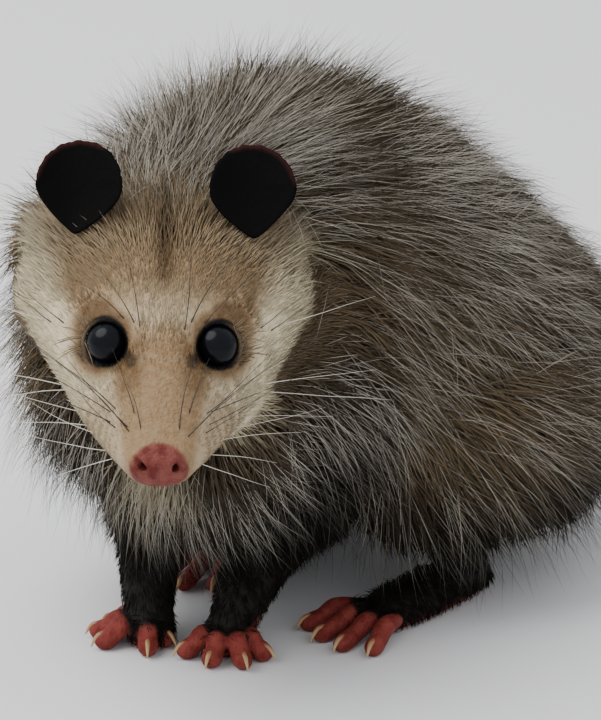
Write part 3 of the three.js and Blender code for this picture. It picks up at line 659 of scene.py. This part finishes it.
        side = np.sign(out[:, 0])[:, None]
        drop = 0.15 + 0.75 * (1 - np.maximum(0, out[:, 2]))
        trunk_lie = np.column_stack([0.12 * side[:, 0], np.ones(len(points)), -drop])
        front = fade(out[:, 1], -0.1, -0.6)[:, None]
        trunk_lie = trunk_lie * (1 - front) + np.column_stack([out[:, 0] * 0.6, 0.25 * np.ones(len(points)), -np.ones(len(points))]) * front
        spread = np.sign(x) * (0.12 + 0.75 * fade(y, -10, 34)) * fade(np.abs(x), 2, 26)
        lift_up = 0.35 * fade(z, -4, 12) - 0.55 * fade(z, -8, -30)
        head_lie = np.column_stack([spread, np.ones(len(points)), lift_up]) @ HEAD.T
        leg_lie = np.column_stack([0.1 * out[:, 0], 0.25 * np.ones(len(points)), -np.ones(len(points))])
        away = unit(np.column_stack([x, np.zeros(len(x)), z + 8]) @ HEAD.T)
        trunk_lie = trunk_lie + 1.5 * ruff[:, None] * away
        lie = head[:, None] * head_lie + (1 - head[:, None]) * trunk_lie
        lie = lie * (1 - leg[:, None]) + leg_lie * leg[:, None]
        self.lie = unit(lie - (lie * out).sum(1, keepdims=True) * out)
        low_ruff = ruff * fade(z, 16, -10) * fade(x, 62, 40)
        lift = 20 + 12 * fade(y, -14, 44) + 6 * side_long
        lift = lift - 14 * fade(wide, 24, 38) * fade(z, 8, -4)
        lift = head * lift + (1 - head) * (30 + 12 * fade(out[:, 2], 0.2, 0.9) + 24 * low_ruff + 22 * fade(out[:, 2], -0.2, -0.9))
        lift = lift + 8 * crown + 10 * fade(y, 40, 60) * head
        self.lift = np.radians(lift * (1 - 0.45 * leg))

    def at(self, picks):
        """All of these values at roots picked on the skin: corners and their shares."""
        corners, shares = picks
        found = Hide.__new__(Hide)
        for name, value in vars(self).items():
            taken = value[corners]
            weight = shares if taken.ndim == 2 else shares[..., None]
            setattr(found, name, (taken * weight).sum(axis=1))
        found.normals = unit(found.normals)
        found.lie = unit(found.lie - (found.lie * found.normals).sum(1, keepdims=True) * found.normals)
        return found


skin_normals = np.empty(len(skin_points) * 3, np.float32)
skin.data.vertex_normals.foreach_get("vector", skin_normals)
skin_normals = skin_normals.reshape(-1, 3).astype(float)
hide = Hide(skin_points, skin_normals)
skin_uv = np.empty(len(skin_quads) * 8, np.float32)
skin.data.uv_layers[0].data.foreach_get("uv", skin_uv)
skin_uv = skin_uv.reshape(-1, 4, 2).astype(float)
triangles = np.vstack([skin_quads[:, [0, 1, 2]], skin_quads[:, [0, 2, 3]]])
triangle_uv = np.vstack([skin_uv[:, [0, 1, 2]], skin_uv[:, [0, 2, 3]]])
edges = skin_points[triangles]
triangle_area = 0.5 * np.linalg.norm(np.cross(edges[:, 1] - edges[:, 0], edges[:, 2] - edges[:, 0]), axis=1)


def set_marks(piece, values):
    """Stores named values on a mesh's points: numbers, or four numbers together."""
    for name, value in values.items():
        value = np.asarray(value, np.float32)
        if value.ndim == 1:
            piece.data.attributes.new(name, "FLOAT", "POINT").data.foreach_set("value", value)
        else:
            piece.data.attributes.new(name, "FLOAT_COLOR", "POINT").data.foreach_set("color", value.ravel())


set_marks(skin, {
    "marks": np.column_stack([hide.cream, hide.tan, hide.dark, hide.warm]),
    "naked": np.column_stack([hide.paw, hide.nose, hide.tail_skin, hide.lid]),
    "run": hide.run,
})


def roots(count, weight, rng):
    """Roots picked on the skin, more of them where the weight is high."""
    chance = triangle_area * weight[triangles].mean(axis=1)
    edge = np.cumsum(chance)
    picked = np.searchsorted(edge, rng.uniform(0, edge[-1], count))
    picked = np.minimum(picked, len(triangles) - 1)
    a, b = rng.uniform(size=(2, count))
    over = a + b > 1
    a[over], b[over] = 1 - a[over], 1 - b[over]
    shares = np.column_stack([1 - a - b, a, b])
    uv = (triangle_uv[picked] * shares[..., None]).sum(axis=1)
    return hide.at((triangles[picked], shares)), uv


def nearest(points, centres):
    tree = KDTree(len(centres))
    for k, centre in enumerate(centres):
        tree.insert(centre, k)
    tree.balance()
    return np.array([tree.find(point)[1] for point in points])


PATCH = 0.003
FLOOR_CLEAR = 0.4


# the farthest that hair may reach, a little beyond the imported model's box on every side
ROOM = np.array([15.0, 18.0, 14.0])
ROOM_LOW, ROOM_HIGH = np.array(cad_low) * METRE - SHIFT - ROOM, np.array(cad_high) * METRE - SHIFT + ROOM
EAR = {"root": (33.6, 42, 22.5), "length": 35.5, "width": 33, "cup": 5, "thick": 1.3, "lean": 43, "flare": -4}


def ear_frame(side):
    """The foot of an ear in head places, and the ways across it, up along it and out of its hollow."""
    lean, flare = math.radians(EAR["lean"]), math.radians(EAR["flare"])
    up = unit([side * math.sin(flare), math.sin(lean), math.cos(lean)])
    face = np.array([side * 0.1, -math.cos(lean), math.sin(lean)])
    face = unit(face - face @ up * up)
    return np.array([side * EAR["root"][0], EAR["root"][1], EAR["root"][2]]) - 4 * up, np.cross(up, face), up, face


def room_share(places, reach):
    """How much of its length a tuft may keep inside the room and without running through an ear."""
    gap = np.where(reach > 0, ROOM_HIGH - places, places - ROOM_LOW) / np.maximum(np.abs(reach), 1e-6)
    share = np.clip(gap.min(axis=1), 0.3, 1)
    start, end = in_head(places), in_head(places + reach)
    for side in SIDE:
        foot, _, up, face = ear_frame(side)
        a, b = (start - foot) @ face, (end - foot) @ face
        hit = start + (end - start) * np.clip(a / np.where(np.abs(a - b) < 1e-6, 1, a - b), 0, 1)[:, None]
        off = np.linalg.norm(hit - foot - up * EAR["length"] / 2, axis=1)
        through_ear = (a * b < 0) & (off < 0.56 * EAR["length"]) & ((hit - foot) @ up > 6)
        share = np.where(through_ear, 0.6 * np.abs(a) / np.maximum(np.abs(a - b), 1e-6), share)
    return share


def grown(name, at, uv, length, width, profile, rng, lift=1.0, stray=0.15, bend=1.0, droop=0.08, clump=None):
    """Tufts that taper to a point, each three-sided and closed, on their roots."""
    count = len(at.points)
    rings = len(profile)
    out = at.normals
    wander = rng.normal(size=(count, 3)) * stray
    if clump is not None:
        wander = wander + clump["turn"][clump["of"]]
    lie = at.lie + wander
    lie = unit(lie - (lie * out).sum(1, keepdims=True) * out)
    angle = np.clip(at.lift * lift + rng.normal(size=count) * 0.1, 0.08, 1.35)[:, None]
    start = np.cos(angle) * lie + np.sin(angle) * out
    curl = -np.sin(angle) * (bend * at.bend)[:, None] * out + rng.normal(size=(count, 3)) * 0.05
    curl[:, 2] -= droop
    length = (length * room_share(at.points, length[:, None] * (start + curl)))[:, None]
    side = unit(np.cross(out, start))
    over = np.cross(start, side)
    spin = rng.uniform(0, 2 * math.pi, count)
    vertices = np.empty((count, rings * 3 + 1, 3))
    along = np.empty((count, rings * 3 + 1))
    for k in range(rings + 1):
        s = k / rings
        middle = at.points - 0.6 * out + length * (s * start + s * s * curl)
        if clump is not None:
            gather = clump["pull"] * s**1.6
            middle = middle + gather * (clump["centres"][clump["of"]] - at.points)
        if k == rings:
            vertices[:, -1] = middle
            along[:, -1] = 1
            break
        for j in range(3):
            turn = spin + j * 2 * math.pi / 3
            thick = (width * profile[k])[:, None]
            vertices[:, k * 3 + j] = middle + thick * (np.cos(turn)[:, None] * side + 0.7 * np.sin(turn)[:, None] * over)
            along[:, k * 3 + j] = s
    vertices[..., 2] = np.maximum(vertices[..., 2], FLOOR_CLEAR)
    faces = [(2, 1, 0)]
    spots_uv = [[(0, 2), (0, 1), (0, 0)]]
    for k in range(rings - 1):
        for j in range(3):
            a, b = k * 3 + j, k * 3 + (j + 1) % 3
            faces += [(a, b, b + 3), (a, b + 3, a + 3)]
            spots_uv += [[(k, j), (k, j + 1), (k + 1, j + 1)], [(k, j), (k + 1, j + 1), (k + 1, j)]]
    for j in range(3):
        a, b = (rings - 1) * 3 + j, (rings - 1) * 3 + (j + 1) % 3
        faces.append((a, b, rings * 3))
        spots_uv.append([(rings - 1, j), (rings - 1, j + 1), (rings, j + 0.5)])
    faces = np.array(faces)
    patch = np.array(spots_uv, float) * [PATCH / rings, PATCH / 3]
    whole = faces[None] + (np.arange(count) * (rings * 3 + 1))[:, None, None]
    piece = place_mesh(name, vertices.reshape(-1, 3), whole.reshape(-1, 3))
    layer = piece.data.uv_layers.new(name="OFBake")
    places = uv[:, None, None, :] + patch[None]
    layer.data.foreach_set("uv", places.astype(np.float32).ravel())
    many = rings * 3 + 1
    shade = rng.uniform(size=count)
    if clump is not None:
        shade = 0.6 * shade + 0.4 * clump["shade"][clump["of"]]
    set_marks(piece, {
        "marks": np.repeat(np.column_stack([at.cream, at.tan, at.dark, at.warm]), many, axis=0),
        "along": along.ravel(),
        "shade": np.repeat(shade, many),
    })
    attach(piece, "root")
    return piece


def in_lots(count, faces_each):
    """Splits tufts into lots that keep each piece under 190,000 triangles."""
    lots = math.ceil(count * faces_each / 190000)
    return [round(count * k / lots) for k in range(lots + 1)]


def subset(at, chosen):
    found = Hide.__new__(Hide)
    for name, value in vars(at).items():
        setattr(found, name, value[chosen])
    return found


def coat(name, count, weight, length, width, profile, rng, slot, clumps=0, pull=0.5, turn=0.2, **ways):
    at, uv = roots(count, weight, rng)
    size = length(at) * rng.uniform(0.75, 1.15, count)
    thick = width(at)
    group = None
    if clumps:
        centres = at.points[rng.choice(count, clumps, replace=False)]
        of = nearest(at.points, centres)
        group = {"centres": centres, "of": of, "turn": rng.normal(size=(clumps, 3)) * turn, "pull": pull}
        group["shade"] = rng.uniform(size=clumps)
    order = np.argsort(at.points[:, 1])
    pieces = []
    cuts = in_lots(count, 6 * len(profile) - 2)
    for k, (a, b) in enumerate(zip(cuts, cuts[1:])):
        chosen = order[a:b]
        lot = dict(group, of=group["of"][chosen]) if group else None
        piece = grown(f"{name}_{k + 1}", subset(at, chosen), uv[chosen], size[chosen], thick[chosen], profile, rng, clump=lot, **ways)
        pieces.append(piece)
    return pieces


rng = np.random.default_rng(SEED)
head_y = in_head(skin_points)[:, 1]
deep = 1 - hide.head * fade(head_y, 52, 34)
under = coat(
    "underfur", 62000, hide.cover * (0.04 + 0.96 * deep) * (1 + 1.0 * hide.leg), lambda at: at.long,
    lambda at: 0.22 + 0.26 * fade(at.long, 10, 26), [0.7, 1.0], rng, "coat_grey", clumps=12000, pull=0.4, turn=0.22,
)
near_eye = fade(eye_gap(in_head(skin_points)), 24, 14)
face = coat(
    "face_fur", 48000, hide.cover * hide.head * fade(head_y, 64, 48) * (1 + 1.6 * fade(head_y, 14, -20) + near_eye),
    lambda at: at.long * 1.1, lambda at: 0.16 + 0.08 * fade(at.long, 4, 16), [0.85, 1.0], rng, "coat_face", stray=0.12,
)
guard_weight = hide.cover * deep * (1 - 0.93 * hide.leg) * fade(hide.long, 10, 22) * (1 - 0.9 * hide.near_ear)
guard_weight *= (1 - 0.8 * hide.knee) * (1 - 0.35 * fade(hide.points[:, 1], 50, 110)) * (0.45 + 0.9 * hide.uneven)
guard_weight *= (1 + 2.2 * hide.nape + 0.2 * hide.ruff) * (1 - 0.45 * hide.dark)
guard = coat(
    "guard_hair", 20000, guard_weight,
    lambda at: np.minimum(at.long * 1.6, 54), lambda at: 0.12 + 0 * at.long, [0.8, 1.0, 0.75], rng, "coat_grey",
    clumps=7000, pull=0.2, turn=0.26, stray=0.2, bend=0.85, droop=0.12,
)
print("coat", [len(p.data.polygons) for p in under + face + guard])



class Wire:
    """One value on its way through the nodes of a finish, so that a finish reads as plain sums."""

    def __init__(self, tree, socket=None):
        self.tree = tree
        self.socket = socket

    def node(self, kind, settings=None, values=None, output=0):
        made = self.tree.nodes.new(kind)
        for name, value in (settings or {}).items():
            setattr(made, name, value)
        for name, value in (values or {}).items():
            self.feed(made.inputs[name], value)
        return Wire(self.tree, made.outputs[output])

    def feed(self, entry, value):
        if isinstance(value, Wire):
            self.tree.links.new(value.socket, entry)
        else:
            entry.default_value = value

    def sum(self, operation, *values):
        return self.node("ShaderNodeMath", {"operation": operation}, dict(enumerate(values)))

    def __add__(self, other):
        return self.sum("ADD", self, other)

    def __radd__(self, other):
        return self.sum("ADD", other, self)

    def __sub__(self, other):
        return self.sum("SUBTRACT", self, other)

    def __rsub__(self, other):
        return self.sum("SUBTRACT", other, self)

    def __mul__(self, other):
        return self.sum("MULTIPLY", self, other)

    def __rmul__(self, other):
        return self.sum("MULTIPLY", other, self)

    def __truediv__(self, other):
        return self.sum("DIVIDE", self, other)

    def __rtruediv__(self, other):
        return self.sum("DIVIDE", other, self)

    def __pow__(self, other):
        return self.sum("POWER", self, other)

    def ramp(self, start, end, low=0.0, high=1.0):
        values = {"Value": self, "From Min": start, "From Max": end, "To Min": low, "To Max": high}
        return self.node("ShaderNodeMapRange", {"interpolation_type": "SMOOTHSTEP"}, values)

    def between(self, first, second):
        """The first colour where this value is 0, the second where it is 1."""
        return self.node("ShaderNodeMix", {"data_type": "RGBA"}, {0: self, 6: first, 7: second}, 2)

    def scaled(self, amount):
        """A colour times a number."""
        return self.node("ShaderNodeVectorMath", {"operation": "SCALE"}, {0: self, 3: amount})


def linear(red, green, blue):
    """A colour as seen, from 0 to 255, in the light values that the shader works with."""
    return (*(((c / 255 + 0.055) / 1.055) ** 2.4 if c > 10 else c / 255 / 12.92 for c in (red, green, blue)), 1.0)


class Finish:
    """A material with its shader, and the values that its mesh carries."""

    def __init__(self, name, **sockets):
        self.material = bpy.data.materials.new(name)
        self.material.use_nodes = True
        self.tree = self.material.node_tree
        self.shader = self.tree.nodes["Principled BSDF"]
        self.wire = Wire(self.tree)
        self.set(**sockets)

    def set(self, **sockets):
        for name, value in sockets.items():
            self.wire.feed(self.shader.inputs[name.replace("_", " ").title().replace("Ior", "IOR")], value)

    def value(self, name):
        return self.wire.node("ShaderNodeAttribute", {"attribute_name": name}, output="Fac")

    def parts(self, name):
        """The four numbers stored together under a name."""
        held = self.tree.nodes.new("ShaderNodeAttribute")
        held.attribute_name = name
        split = self.tree.nodes.new("ShaderNodeSeparateColor")
        self.tree.links.new(held.outputs["Color"], split.inputs["Color"])
        return [Wire(self.tree, split.outputs[k]) for k in range(3)] + [Wire(self.tree, held.outputs["Alpha"])]

    def place(self):
        return self.wire.node("ShaderNodeTexCoord", output="Object")

    def noise(self, scale, detail=3.0, where=None, rough=0.5):
        values = {"Vector": where or self.place(), "Scale": scale, "Detail": detail, "Roughness": rough}
        return self.wire.node("ShaderNodeTexNoise", None, values, "Fac")

    def cells(self, scale, feature="F1", where=None):
        values = {"Vector": where or self.place(), "Scale": scale}
        return self.wire.node("ShaderNodeTexVoronoi", {"feature": feature}, values, "Distance")

    def bump(self, height, depth, strength=1.0):
        values = {"Height": height, "Distance": depth, "Strength": strength}
        self.set(normal=self.wire.node("ShaderNodeBump", None, values))

    def dress(self, piece):
        piece.data.materials.clear()
        piece.data.materials.append(self.material)


HAIR = {
    "root": linear(84, 73, 59), "tip": linear(56, 48, 39), "dark": linear(12, 11, 10), "cream": linear(208, 195, 164),
    "tan": linear(122, 91, 57), "warm": linear(114, 98, 75), "pale": linear(184, 178, 165),
}


def coat_colour(finish, along, shade):
    """The markings that skin and coat share: grey, warm brown, black, tan and cream."""
    cream, tan, dark, warm = finish.parts("marks")
    colour = along.between(HAIR["root"], HAIR["tip"])
    colour = (warm * 0.75).between(colour, HAIR["warm"])
    colour = cream.between(colour, HAIR["cream"])
    colour = (tan * (0.75 + 0.35 * shade)).between(colour, HAIR["tan"])
    colour = (dark * (0.8 + 0.25 * shade)).between(colour, HAIR["dark"])
    return colour


def hair_finish(name, pale, lights):
    finish = Finish(name, roughness=0.75, specular_ior_level=0.08)
    along, shade = finish.value("along"), finish.value("shade")
    cream, tan, dark, warm = finish.parts("marks")
    colour = coat_colour(finish, along.ramp(0.1, 0.9), shade)
    if pale:
        white = along.ramp(0.2, 0.5) * shade.ramp(0.36, 0.44) * (1 - 0.75 * cream) * (1 - 0.85 * dark)
        colour = (white * pale).between(colour, HAIR["pale"])
    colour = colour.scaled(lights[0] + (lights[1] - lights[0]) * shade)
    finish.set(base_color=colour)
    return finish


underfur_finish = hair_finish("underfur", 0, (0.65, 1.3))
guard_finish = hair_finish("guard hair", 0.95, (0.5, 1.25))
face_finish = hair_finish("face fur", 0, (0.68, 1.14))

skin_finish = Finish("skin", roughness=0.6, specular_ior_level=0.12)
paw_skin, nose_skin, tail_skin, lid_skin = skin_finish.parts("naked")
colour = coat_colour(skin_finish, skin_finish.wire.sum("ADD", 0.6, 0.0), skin_finish.noise(400))
mottle = skin_finish.noise(220, 4)
pink = mottle.ramp(0.3, 0.7).between(linear(106, 40, 35), linear(132, 60, 52))
nose_pink = mottle.ramp(0.3, 0.7).between(linear(94, 38, 35), linear(122, 68, 60))
tail_pink = mottle.ramp(0.3, 0.7).between(linear(142, 112, 102), linear(168, 138, 124))
colour = colour.node("ShaderNodeMix", {"data_type": "RGBA"}, {0: paw_skin, 6: colour, 7: pink}, 2)
colour = nose_skin.between(colour, nose_pink)
colour = tail_skin.between(colour, tail_pink)
colour = lid_skin.between(colour, linear(7, 6, 6))
skin_finish.set(base_color=colour)
rings = skin_finish.wire.sum("SINE", skin_finish.value("run") * 3.6) * tail_skin
skin_finish.bump(skin_finish.cells(900) + 0.8 * skin_finish.noise(500) + 0.35 * rings, 0.0005, 0.7)
skin_finish.dress(skin)

for pieces, finish in ((under, underfur_finish), (guard, guard_finish), (face, face_finish)):
    for piece in pieces:
        finish.dress(piece)


# The ears: thin bare cups, black with a dark red upper rim, grown from the crown.


def ear_points(side, rings=14, sides=72):
    root, across, up, face = ear_frame(side)
    r, t = np.meshgrid(np.linspace(0, 1, rings + 1)[1:], 2 * math.pi * np.arange(sides) / sides, indexing="ij")
    low = np.maximum(0, -np.sin(t))
    a = EAR["width"] / 2 * r * np.cos(t) * (1 - 0.62 * low**1.6 * r) * (1 + 0.07 * r * np.maximum(0, np.sin(t)) ** 2)
    b = EAR["length"] / 2 + EAR["length"] / 2 * r * np.sin(t)
    hollow = EAR["cup"] * ((a / (EAR["width"] / 2)) ** 2 + 0.5 * r * r * low - 0.5)
    hollow = hollow + 0.3 * np.sin(5 * t + 1) * r**3 + 0.5 * np.sin(3 * t + side) * r * r
    edge = 1 + 0.012 * np.sin(23 * t) * np.sin(7 * t + 2) * fade(r, 0.8, 1)
    a, b = a * edge, b * edge
    half = EAR["thick"] / 2 * np.sqrt(np.maximum(0, 1 - np.clip((r - 0.94) / 0.06, 0, 1) ** 2)) * (1 - 0.35 * r)
    layers = []
    for face_side in (1, -1):
        lift = hollow + face_side * half
        points = root + a[..., None] * across + b[..., None] * up + lift[..., None] * face
        middle = root + EAR["length"] / 2 * up + (EAR["cup"] * -0.5 + face_side * EAR["thick"] / 2) * face
        layers.append(np.vstack([[middle], points.reshape(-1, 3)]))
    layers[1] = layers[1][: 1 + (rings - 1) * sides]
    index = lambda layer, ring, k: (
        (0 if layer == 0 or ring == rings else len(layers[0])) + (0 if ring == 0 else 1 + (ring - 1) * sides + k % sides)
    )
    faces = []
    for k in range(sides):
        for layer in (0, 1):
            fan = [index(layer, 0, 0), index(layer, 1, k), index(layer, 1, k + 1)]
            faces.append(fan if layer == 0 else fan[::-1])
            for ring in range(1, rings):
                a4 = [index(layer, ring, k), index(layer, ring + 1, k), index(layer, ring + 1, k + 1), index(layer, ring, k + 1)]
                a4 = a4 if layer == 0 else a4[::-1]
                faces += [[a4[0], a4[1], a4[2]], [a4[0], a4[2], a4[3]]]
    rim = np.concatenate([[0], (r * fade(np.sin(t + 0.5 * side), -0.35, 0.7)).ravel()])
    rim = np.concatenate([rim, rim[: len(layers[1])]])
    return of_head(np.vstack(layers)), faces, rim


ear_finish = Finish("ear skin", roughness=0.75, specular_ior_level=0.05)
rim = ear_finish.value("rim")
ear_colour = rim.ramp(0.86, 1.0).between(linear(9, 8, 8), linear(48, 22, 21))
ear_finish.set(base_color=ear_colour)
ear_finish.bump(ear_finish.noise(260, 4) + 0.4 * ear_finish.cells(500), 0.0006, 0.5)
for side, name in SIDE.items():
    points, faces, rim_value = ear_points(side)
    ear = place_mesh(f"ear_{name}_skin", points, faces)
    set_marks(ear, {"rim": rim_value})
    ear_finish.dress(ear)
    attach(ear, "root")
    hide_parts(f"ear_{name}")


# The eyes: glossy black-blue balls held by the lids.
def ball_mesh(name, centre, radius, rings=40, sides=64):
    t = math.pi * np.arange(1, rings) / rings
    s = 2 * math.pi * np.arange(sides) / sides
    t, s = np.meshgrid(t, s, indexing="ij")
    points = np.stack([np.sin(t) * np.cos(s), np.sin(t) * np.sin(s), np.cos(t)], axis=-1).reshape(-1, 3)
    points = np.vstack([points, [[0, 0, 1], [0, 0, -1]]]) * radius + centre
    faces = []
    top, bottom = len(points) - 2, len(points) - 1
    for k in range(sides):
        n = (k + 1) % sides
        faces.append([top, k, n])
        last = (rings - 2) * sides
        faces.append([bottom, last + n, last + k])
        for ring in range(rings - 2):
            a = ring * sides
            faces += [[a + k, a + sides + k, a + sides + n], [a + k, a + sides + n, a + n]]
    return place_mesh(name, points, faces)


eye_finish = Finish("eye", base_color=linear(6, 8, 13), roughness=0.2, specular_ior_level=0.14)
for side, name in SIDE.items():
    eye = ball_mesh(f"eyeball_{name}", of_head(eye_place(side)), EYE["radius"])
    eye_finish.dress(eye)
    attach(eye, "root")
    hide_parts(f"eye_{name}")


# Claws and whiskers: solid horn and bristle that taper to a point.
def tube(stations, sides=10, steps=6):
    """Points and triangles of a closed tapered tube along stations of x, y, z, radius."""
    line = through(stations, steps)
    ahead = unit(np.gradient(line[:, :3], axis=0))
    side = unit(np.cross(ahead, [0.31, 0.2, 0.93]))
    over = np.cross(ahead, side)
    turn = 2 * math.pi * np.arange(sides) / sides
    round_ = np.cos(turn)[None, :, None] * side[:, None] + np.sin(turn)[None, :, None] * over[:, None]
    points = (line[:, None, :3] + line[:, 3, None, None] * round_).reshape(-1, 3)
    points = np.vstack([points, line[:1, :3], line[-1:, :3] + ahead[-1:] * line[-1, 3]])
    count = len(line)
    faces = []
    for j in range(sides):
        n = (j + 1) % sides
        faces.append([count * sides, n, j])
        for k in range(count - 1):
            a = k * sides
            faces += [[a + j, a + n, a + sides + n], [a + j, a + sides + n, a + sides + j]]
        faces.append([(count - 1) * sides + j, (count - 1) * sides + n, count * sides + 1])
    return points, np.array(faces), np.concatenate([np.repeat(np.linspace(0, 1, count), sides), [0, 1]])


def gathered(name, tubes):
    points, faces, along, start = [], [], [], 0
    for p, f, s in tubes:
        points.append(p)
        faces.append(f + start)
        along.append(s)
        start += len(p)
    piece = place_mesh(name, np.vstack(points), np.vstack(faces))
    set_marks(piece, {"along": np.concatenate(along)})
    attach(piece, "root")
    return piece


claw_finish = Finish("horn", roughness=0.35, specular_ior_level=0.5)
claw_finish.set(base_color=claw_finish.value("along").ramp(0.1, 0.9).between(linear(140, 92, 62), linear(182, 154, 108)))
claw_tubes = []
for side in SIDE:
    for _, claw in fore_toes(side) + hind_toes(side)[0]:
        claw_tubes.append(tube(claw))
claws = gathered("claws", claw_tubes)
claw_finish.dress(claws)

# where each whisker grows (across, back, up on the head), the way it leaves the skin, its length,
# how far it bends outward and how far it hangs
DARK_WHISKERS = [
    [(17, -25, -12), (0.86, 0.42, 0.3), 40, 0.0, 0.1], [(9, -38, -10), (0.6, 0.62, 0.5), 52, 0.25, 0.12],
    [(14, -33, -13), (0.86, 0.4, 0.35), 24, 0.0, 0.1], [(8, -31, -8), (0.22, 0.75, 0.62), 20, 0.1, 0.0],
    [(5, -37, -10), (0.12, 0.75, 0.65), 22, 0.1, 0.0], [(14, -26, -10), (0.75, 0.45, 0.45), 46, 0.2, 0.15],
    [(11, -35, -11), (0.7, 0.5, 0.45), 38, 0.15, 0.1], [(16, -30, -14), (0.88, 0.4, 0.15), 30, 0.05, 0.12],
    [(10, -3, 13), (0.15, 0.6, 0.9), 36, -0.12, 0.0], [(13, -1, 14), (0.45, 0.55, 0.8), 30, 0.3, 0.1],
    [(16, 2, 14), (0.7, 0.6, 0.6), 24, 0.2, 0.12], [(36, 14, -4), (0.85, 0.45, 0.4), 20, 0.0, 0.05],
    [(37, 17, -8), (0.85, 0.45, 0.25), 18, 0.0, 0.05],
]
WHITE_WHISKERS = [
    [(17, -27, -22), (0.92, 0.3, 0.05), 40, 0.0, 0.08], [(19, -22, -24), (0.9, 0.35, -0.15), 46, 0.0, 0.12],
    [(15, -34, -21), (0.92, 0.2, -0.1), 38, 0.0, 0.15], [(22, -14, -26), (0.85, 0.4, -0.3), 50, 0.0, 0.12],
    [(13, -38, -22), (0.85, 0.1, -0.45), 34, 0.0, 0.15], [(30, 4, -20), (0.9, 0.3, -0.1), 44, 0.0, 0.14],
    [(30, 6, -24), (0.85, 0.3, -0.35), 46, 0.0, 0.14], [(38, 22, -10), (0.95, 0.3, 0.05), 34, 0.0, 0.1],
]
WHISKER = {"dark": 0.25, "white": 0.19}


def bristle(root, way, length, outward, hang, side, radius, rng):
    """A whisker from the skin nearest to a place on the head, bent back and down along its length."""
    place = of_head(np.array(root) * [side, 1, 1] + rng.normal(size=3) * 0.8)
    start = skin_points[np.argmin(np.linalg.norm(skin_points - place, axis=1))]
    ahead = HEAD @ unit(np.array(way) * [side, 1, 1] + rng.normal(size=3) * 0.05)
    length = length * rng.uniform(0.9, 1.12)
    bent = HEAD @ (np.array([side * outward, 0.2, 0]) + rng.normal(size=3) * 0.1) - [0, 0, hang]
    rows = []
    for s in (-0.03, 0.25, 0.5, 0.75, 1.0):
        middle = start + length * (s * ahead + s * s * bent) + 0.4 * math.sin(9 * s) * rng.normal(size=3) * s
        rows.append([*middle, radius * (1.0 - 0.75 * max(s, 0))])
    return tube(rows, 4, 3)


def whiskers(rng):
    sets = ((DARK_WHISKERS, WHISKER["dark"]), (WHITE_WHISKERS, WHISKER["white"]))
    return [[bristle(*row, side, radius, rng) for side in SIDE for row in rows] for rows, radius in sets]


for name, tubes, tone in zip(("dark", "white"), whiskers(rng), (linear(30, 20, 18), linear(206, 200, 186))):
    piece = gathered(f"whiskers_{name}", tubes)
    Finish(f"{name} whisker", base_color=tone, roughness=0.4).dress(piece)

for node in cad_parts:
    if node.startswith(("eye_", "ear_")):
        continue
    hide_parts(node)

# camera
PIXEL = 0.375
AZIMUTH, ELEVATION = math.radians(40), math.radians(22)
right = np.array([math.cos(AZIMUTH), math.sin(AZIMUTH), 0])
back = np.array([
    math.sin(AZIMUTH) * math.cos(ELEVATION),
    -math.cos(AZIMUTH) * math.cos(ELEVATION),
    math.sin(ELEVATION),
])
above = np.cross(back, right)
aim = np.array(EYE_LINE) + right * 138.5 * PIXEL - above * 15 * PIXEL
place = (aim + back * 2400 + SHIFT) / METRE
camera_data = bpy.data.cameras.new("camera")
camera_data.lens = 320
camera_data.sensor_width = 36
camera = bpy.data.objects.new("camera", camera_data)
camera.matrix_world = Matrix([
    [right[0], above[0], back[0], place[0]],
    [right[1], above[1], back[1], place[1]],
    [right[2], above[2], back[2], place[2]],
    [0, 0, 0, 1],
])
bpy.context.scene.collection.objects.link(camera)
bpy.context.scene.camera = camera

world = bpy.data.worlds.new("sky")
bpy.context.scene.world = world
world.use_nodes = True
world.node_tree.nodes["Background"].inputs["Color"].default_value = (0.79, 0.8, 0.83, 1)
world.node_tree.nodes["Background"].inputs["Strength"].default_value = 1.3
light_data = bpy.data.lights.new("window", "AREA")
light_data.energy = 40
light_data.shape = "DISK"
light_data.size = 1.8
light = bpy.data.objects.new("window", light_data)
light.location = (-0.6, -0.8, 1.8)
light.rotation_euler = Vector((0.6, 0.8, -1.7)).to_track_quat("-Z", "Y").to_euler()
bpy.context.scene.collection.objects.link(light)

floor_mesh = bpy.data.meshes.new("floor")
floor_mesh.from_pydata([(-6, -6, 0), (6, -6, 0), (6, 6, 0), (-6, 6, 0)], [], [(0, 1, 2, 3)])
floor = bpy.data.objects.new("floor", floor_mesh)
bpy.context.scene.collection.objects.link(floor)
Finish("floor", base_color=(0.8, 0.8, 0.8, 1), roughness=0.9).dress(floor)
